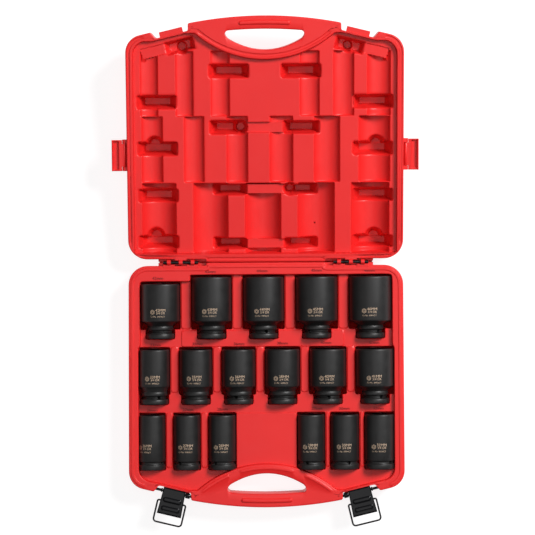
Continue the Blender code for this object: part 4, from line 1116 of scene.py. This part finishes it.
LABELS = {42: (-157.6, 22.8, 0), 43: (-80.9, 13.5, 0), 44: (-5.3, 12.6, 0), 45: (74.1, 12.1, 0),
          46: (151.3, 12.6, 0), 33: (-162.0, 120.4, 1), 35: (-100.1, 119.1, 2),
          36: (-39.5, 119.1, 2), 38: (23.8, 118.5, 2), 40: (87.5, 118.0, 2),
          41: (157.9, 118.5, 1), 26: (-167.1, 215.8, 1), 27: (-114.7, 215.4, 1),
          28: (-64.4, 214.9, 1), 29: (73.9, 214.3, 1), 30: (113.8, 214.5, 1),
          32: (163.5, 214.5, 1)}
"""Size -> (x, v, level): level 0 is the rim, 1 the deck and 2 the raised deck."""


def make_labels():
    """Raised size labels moulded over the pockets."""
    parts = []
    for size, (x, v, level) in LABELS.items():
        block, quads = text_mesh(f"{size}mm", 5.6, 1.12, 0.45)
        height = (RIM, DECK, DECK + 1.0)[level] + 0.3
        parts.append((block * (1, -1, 1) + (x, v, height), quads))
    points, faces = merged(parts)
    # The raised letters use the painted-shade red, a darker copy of the shell's plastic.
    item = build("moulded size labels", to_base(points), faces, LETTERS_PAINTED_SHADE, 30.0)
    finish_piece(item, "base", "red_plastic")


# ---------------------------------------------------------------- hinge
def make_hinges():
    """Rods, cradles under them and straps over them; ledges close the slot below."""
    for hand, name in ((-1, "left"), (1, "right")):
        low, high = 98.55, 149.65
        profile = [(low, 0.6), (low, 1.7), (low + 0.4, 2.1), (high - 0.4, 2.1), (high, 1.7),
                   (high, 0.6)]
        points, faces = lathe([(hand * at, r) for at, r in profile])
        rod = build(f"hinge rod {name}", to_base(points), faces, WIRE)
        finish_piece(rod, "base", "dark_steel", f"hinge_rod_{name}")
    strap = [(4.0 * math.cos(t), 4.0 * math.sin(t)) for t in np.radians(np.arange(0, 360, 20))]
    cradle = [(1.5, -4.0), (8.0, -4.0), (8.0, -1.3), (3.2, -1.3), (2.4, -2.4)]
    arm = [(2.6, -1.4), (8.0, -1.4), (8.0, 0.2), (3.2, 0.6)]
    ledge = [(0.3, -15.0), (9.0, -15.0), (9.0, -9.5), (0.3, -9.5)]
    for side, place, body, node in ((-1, to_base, "base", "base_shell"),
                                    (1, to_lid, "lid", "lid_shell")):
        shifts = (0.0,) if side > 0 else (-17.3, 17.3)
        bars = []
        for hand in (-1, 1):
            for shift in shifts:
                middle = hand * 124.1 + shift
                bars += [(cradle, middle - 8.4, middle + 8.4, place),
                         (strap, middle - 2.8, middle + 2.8, place),
                         (arm, middle - 8.4, middle + 8.4, place)]
            low, high = sorted((hand * 86.0, hand * 157.0))
            bars.append((ledge, low, high, place))
        if side < 0:
            bars.append(([(-3.9, -44.0), (9.0, -44.0), (9.0, -40.5), (-3.9, -40.5)], -157.0,
                         157.0, place))
            for hand in (-1, 1):
                bars.append(([(-8.0, -8.5), (-1.6, -8.5), (-1.6, -6.4), (-8.0, -6.4)], -16.0,
                             22.0, latch_place(hand, place)))
        lugs = build_prisms(f"hinge lugs on the {body}", bars, RED, 0.35)
        finish_piece(lugs, body, "red_plastic", node)


# ---------------------------------------------------------------- latches
def lever_half(y):
    """Half width of the lever at a distance from the pin axis."""
    return (32.7 + 3.5 * (y + 3.6) / 37.6) / 2


def make_lever(hand, name):
    """Pressed lever: a sheet folded down at both sides, with two pressed ribs. Its outer
    skin is a grid; the inner skin follows 1.2 mm inside."""
    ys = np.unique(np.concatenate((np.linspace(-4.9, -1.0, 12), np.linspace(-0.5, 34.0, 56),
                                   [33.8, 33.5, 9.0, 15.0, 21.7, 27.7])))
    share = np.concatenate((-np.linspace(1, 0.06, 26)[:-1], np.linspace(-0.06, 0.06, 3),
                            np.linspace(0.06, 1, 26)[1:]))
    half = lever_half(ys)[:, None]
    flat = half - 1.6
    x = share[None] * flat
    y = np.repeat(ys[:, None], len(share), axis=1)
    rolled = np.sqrt(5.1 ** 2 - np.clip(y, -5.0, 0) ** 2)
    drop = np.clip(3.6 - rolled, 0, None) + np.clip((y - 31.4) / 2.6, 0, 1) ** 2 * 1.3
    z = 3.6 - drop
    for at in (12.0, 24.7):
        gap = box_gap(x, y, (-13.0, 13.0, at - 3.0, at + 3.0), 2.6)
        z = z + 1.5 * np.clip(-gap / 1.6 + 0.25, 0, 1) ** 0.7
    deep = np.interp(ys, [-4.9, -1.5, 20.0, 34.0], [1.9, 7.2, 6.4, 2.6])[:, None]
    turns = np.radians([20, 45, 70, 90])[None]
    edge_z = 3.6 - drop[:, :1]

    def side(sign, thick):
        bend_x = flat + (1.6 - thick) * np.sin(turns)
        bend_z = edge_z - 1.6 + (1.6 - thick) * np.cos(turns)
        foot_x = np.repeat(half - thick, 2, axis=1)
        foot_z = np.hstack((edge_z - (deep + 1.6) / 2, edge_z - deep))
        return sign * np.hstack((bend_x, foot_x)), np.hstack((bend_z, foot_z))

    skins = []
    for thick in (0.0, 1.2):
        left_x, left_z = side(-1, thick)
        right_x, right_z = side(1, thick)
        all_x = np.hstack((left_x[:, ::-1], x, right_x))
        all_z = np.hstack((left_z[:, ::-1], z - thick, right_z))
        all_y = np.repeat(ys[:, None], all_x.shape[1], axis=1)
        skins.append(np.stack((all_x, all_y, all_z), axis=-1))
    points, faces = shell_grid(*skins)
    item = build(f"latch lever {name}", latch_place(hand, to_base)(points), faces, LACQUER)
    finish_piece(item, f"latch_lever_{name}", "black_lacquer", f"latch_lever_{name}")


def make_bail(hand, name):
    """Wire loop: tails through the lever, arms past it and a rounded far end."""
    arm = (44.4 - 2.6) / 2
    tail = lever_half(14.5) - 2.4
    half = np.vstack(([(tail, 0.0), (tail + 1.0, 0.0)],
                      arc((arm - 2.25, 2.25), 2.25, -math.pi / 2, 0, 8),
                      [(arm, 6.0), (arm, 15.0), (arm, 24.0)],
                      arc((arm - 4.5, 27.5), 4.5, 0, math.pi / 2, 10)))
    path = np.vstack((half, (half * (-1, 1))[::-1]))
    points, faces = tube(path, 1.3, 14)
    points = points + (0.0, 14.5, 1.5)
    item = build(f"latch bail {name}", latch_place(hand, to_base)(points), faces, WIRE)
    finish_piece(item, f"latch_bail_{name}", "dark_steel", f"latch_bail_{name}")


def make_pivot(hand, name):
    """Headed pin across the recess with a collar on its inboard side."""
    inner = lever_half(0.0) + 0.6
    profile = [(-29.0, 0.5), (-29.0, 2.0), (-inner - 2.0, 2.0), (-inner - 2.0, 2.8),
               (-inner - 1.7, 3.0), (-inner - 0.3, 3.0), (-inner, 2.8), (-inner, 2.0),
               (inner, 2.0), (inner, 3.7), (inner + 0.4, 4.0), (23.5, 4.0), (23.9, 3.7),
               (23.9, 2.0), (29.0, 2.0), (29.0, 0.5)]
    points, faces = lathe(profile)
    item = build(f"latch pivot {name}", latch_place(hand, to_base)(points), faces, LACQUER)
    finish_piece(item, "base", "dark_steel", f"latch_pivot_{name}")


def make_catches():
    """Hooked tabs on the lid that the bails close over."""
    bars = []
    for hand in (-1, 1):
        outline = [(-7.0, 2.0), (2.0, 2.0), (2.0, -10.4), (0.0, -10.4), (0.0, -8.2),
                   (-7.0, -8.2)]
        bars.append((outline, -17.0, 17.0, latch_place(hand, to_lid)))
    item = build_prisms("lid catch tabs", bars, RED, 0.8)
    finish_piece(item, "lid", "red_plastic", "lid_shell")


# ---------------------------------------------------------------- side clips and handle bars
def clip_place(hand):
    """Turns points given as (v, out, up) from the clip pin's axis into the row frame."""
    def placed(points):
        v, out, up = np.asarray(points, float).reshape(-1, 3).T
        return to_lid(np.column_stack((hand * (HALF_WIDTH + CLIP_PIN_OUT + out), v,
                                       up + CLIP_PIN_Z)))
    return placed


def make_clip(hand, name):
    """Moulded clip: a tray with a lip on three sides and a root that thickens to the pin."""
    us = lines([0.0, 3.3, 3.6, 7.2, 7.5, 8.0, 15.0, 15.6, 18.3, *about(16.4)], 3.4, 18.3, 1.2)
    ws = lines(about(-20.9, 20.9), -22.9, 22.9, 2.0)
    u, w = np.meshgrid(us, ws)
    tray = box_gap(u, w, (8.0, 16.0, -20.6, 20.6), 1.0)
    top = 2.9 - 0.5 * np.clip((8.0 - u) / 4.5, 0, 1) - step(tray, 4.0, 0.5, 0.8) \
        + 1.8 * np.clip((u - 16.2) / 0.6, 0, 1)
    edge = np.minimum(22.9 - np.abs(w), 18.3 - u)
    top = top - 0.7 * np.clip(1 - edge / 0.8, 0, 1) ** 2
    bottom = np.broadcast_to(np.interp(us, [3.4, 8.0, 18.3], [-1.6, -2.6, -2.2]), u.shape)

    def put(points):
        out, along, up = np.asarray(points, float).reshape(-1, 3).T
        return clip_place(hand)(np.column_stack((along + CLIP_MIDDLE, out, up)))
    skins = [np.stack((u, w, z), axis=-1) for z in (top, bottom)]
    tray_part = shell_grid(*skins)
    barrel = lathe([(-16.6, 0.5), (-16.6, 2.5), (-16.2, 2.8), (16.2, 2.8), (16.6, 2.5),
                    (16.6, 0.5)])
    barrel = (np.column_stack((barrel[0][:, 1], barrel[0][:, 0], barrel[0][:, 2])), barrel[1])
    root = shell_grid(*[np.stack(np.broadcast_arrays(*np.meshgrid([0.5, 3.6],
                                                                 np.linspace(-16.6, 16.6, 9)),
                                                     level), axis=-1)
                        for level in (2.5, -2.2)])
    points, faces = joined([(put(part[0]), part[1]) for part in (tray_part, barrel, root)])
    item = build(f"side clip {name}", points, faces, RED)
    finish_piece(item, f"side_clip_{name}", "red_plastic", f"side_clip_{name}")
    pin_points, pin_faces = lathe([(-22.4, 0.3), (-22.4, 1.1), (-22.2, 1.3), (22.2, 1.3),
                                   (22.4, 1.1), (22.4, 0.3)], 20)
    pin_points = np.column_stack((pin_points[:, 1], pin_points[:, 0], pin_points[:, 2]))
    pin = build(f"side clip pin {name}", put(pin_points), pin_faces, WIRE)
    finish_piece(pin, "lid", "dark_steel", f"side_clip_pin_{name}")


def make_clip_lugs():
    """A round-ended lug at each end of both clips, and the plate under them."""
    turns = np.radians(np.linspace(90, -90, 9))
    lug = [(3.1 * math.cos(t), 3.1 * math.sin(t)) for t in turns] + [(-7.0, -3.1), (-7.0, 3.1)]
    plate = [(-7.0, -4.8), (-1.2, -4.8), (-1.2, -3.6), (-7.0, -3.6)]
    bars = []
    for hand in (-1, 1):
        place = clip_place(hand)
        bars.append((plate, 139.0, 174.4, place))
        bars += [(lug, low, low + 6.0, place) for low in (133.8, 173.6)]
    item = build_prisms("side clip lugs", bars, RED, 0.4)
    finish_piece(item, "lid", "red_plastic", "lid_shell")


def make_handle_bars():
    """Raised rounded bar on each handle, following its outer arc."""
    for place, body, node in ((to_base, "base", "base_shell"), (to_lid, "lid", "lid_shell")):
        xs = np.concatenate((np.linspace(-38.0, -34.0, 9)[:-1], np.linspace(-34.0, 34.0, 36),
                             np.linspace(34.0, 38.0, 9)[1:]))
        across = np.linspace(-3.6, 3.6, 17)
        x, w = np.meshgrid(xs, across)
        along_gap = np.maximum(np.abs(x) - 34.0, 0)
        gap = np.hypot(along_gap, w) - 3.3
        top = RIM + 1.9 * np.sqrt(np.clip(-gap / 2.6, 0, 1) * (2 - np.clip(-gap / 2.6, 0, 1)))
        top = np.where(gap < 0, top, RIM - 0.4)
        v = handle_edge(x) - 9.6 + w
        skins = [np.stack((x, v, z), axis=-1) for z in (top, np.full(x.shape, RIM - 1.5))]
        points, faces = shell_grid(*skins)
        bar = build(f"moulded bar on the {body} handle", place(points), faces, RED, 50.0)
        finish_piece(bar, body, "red_plastic", node)


# ---------------------------------------------------------------- build
make_base()
make_lid()
for socket_size in SOCKETS:
    make_socket(socket_size)
    make_mark(socket_size)
make_labels()
make_hinges()
for hand_sign, hand_name in ((-1, "left"), (1, "right")):
    make_lever(hand_sign, hand_name)
    make_bail(hand_sign, hand_name)
    make_pivot(hand_sign, hand_name)
    make_clip(hand_sign, hand_name)
make_catches()
make_clip_lugs()
make_handle_bars()


# ---------------------------------------------------------------- setting
def make_floor():
    corners = np.array([(-4.0, -4.0, 0.0), (4.0, -4.0, 0.0), (4.0, 4.0, 0.0), (-4.0, 4.0, 0.0)])
    floor = build("floor", corners, [[0, 1, 2, 3]], floor_material())


def area_light(name, place, size, power, aim=(0.0, 0.0, 0.03)):
    light = bpy.data.lights.new(name, "AREA")
    light.shape, light.size, light.energy = "DISK", size, power
    item = bpy.data.objects.new(name, light)
    item.location = place
    item.rotation_euler = (Vector(place) - Vector(aim)).to_track_quat("Z", "Y").to_euler()
    bpy.context.scene.collection.objects.link(item)


def make_setting():
    scene = bpy.context.scene
    scene.view_settings.view_transform = "Standard"
    world = bpy.data.worlds.new("studio")
    scene.world = world
    world.use_nodes = True
    sky = world.node_tree.nodes["Background"]
    sky.inputs["Color"].default_value = (1.0, 1.0, 1.0, 1.0)
    sky.inputs["Strength"].default_value = 0.12
    area_light("key from the upper right", (2.0, 1.7, 2.6), 1.3, 150.0)
    area_light("overhead", (0.0, 0.2, 4.4), 3.0, 30.0)
    area_light("fill from the left", (-2.4, -0.6, 2.6), 2.2, 7.0)
    camera = bpy.data.cameras.new("camera")
    camera.lens = CAMERA_LENS
    camera.sensor_width = 36.0
    camera.clip_end = 50.0
    item = bpy.data.objects.new("camera", camera)
    item.location = CAMERA_PLACE
    item.rotation_euler = (0.0, 0.0, CAMERA_TURN)
    scene.collection.objects.link(item)
    scene.camera = item


make_floor()
make_setting()
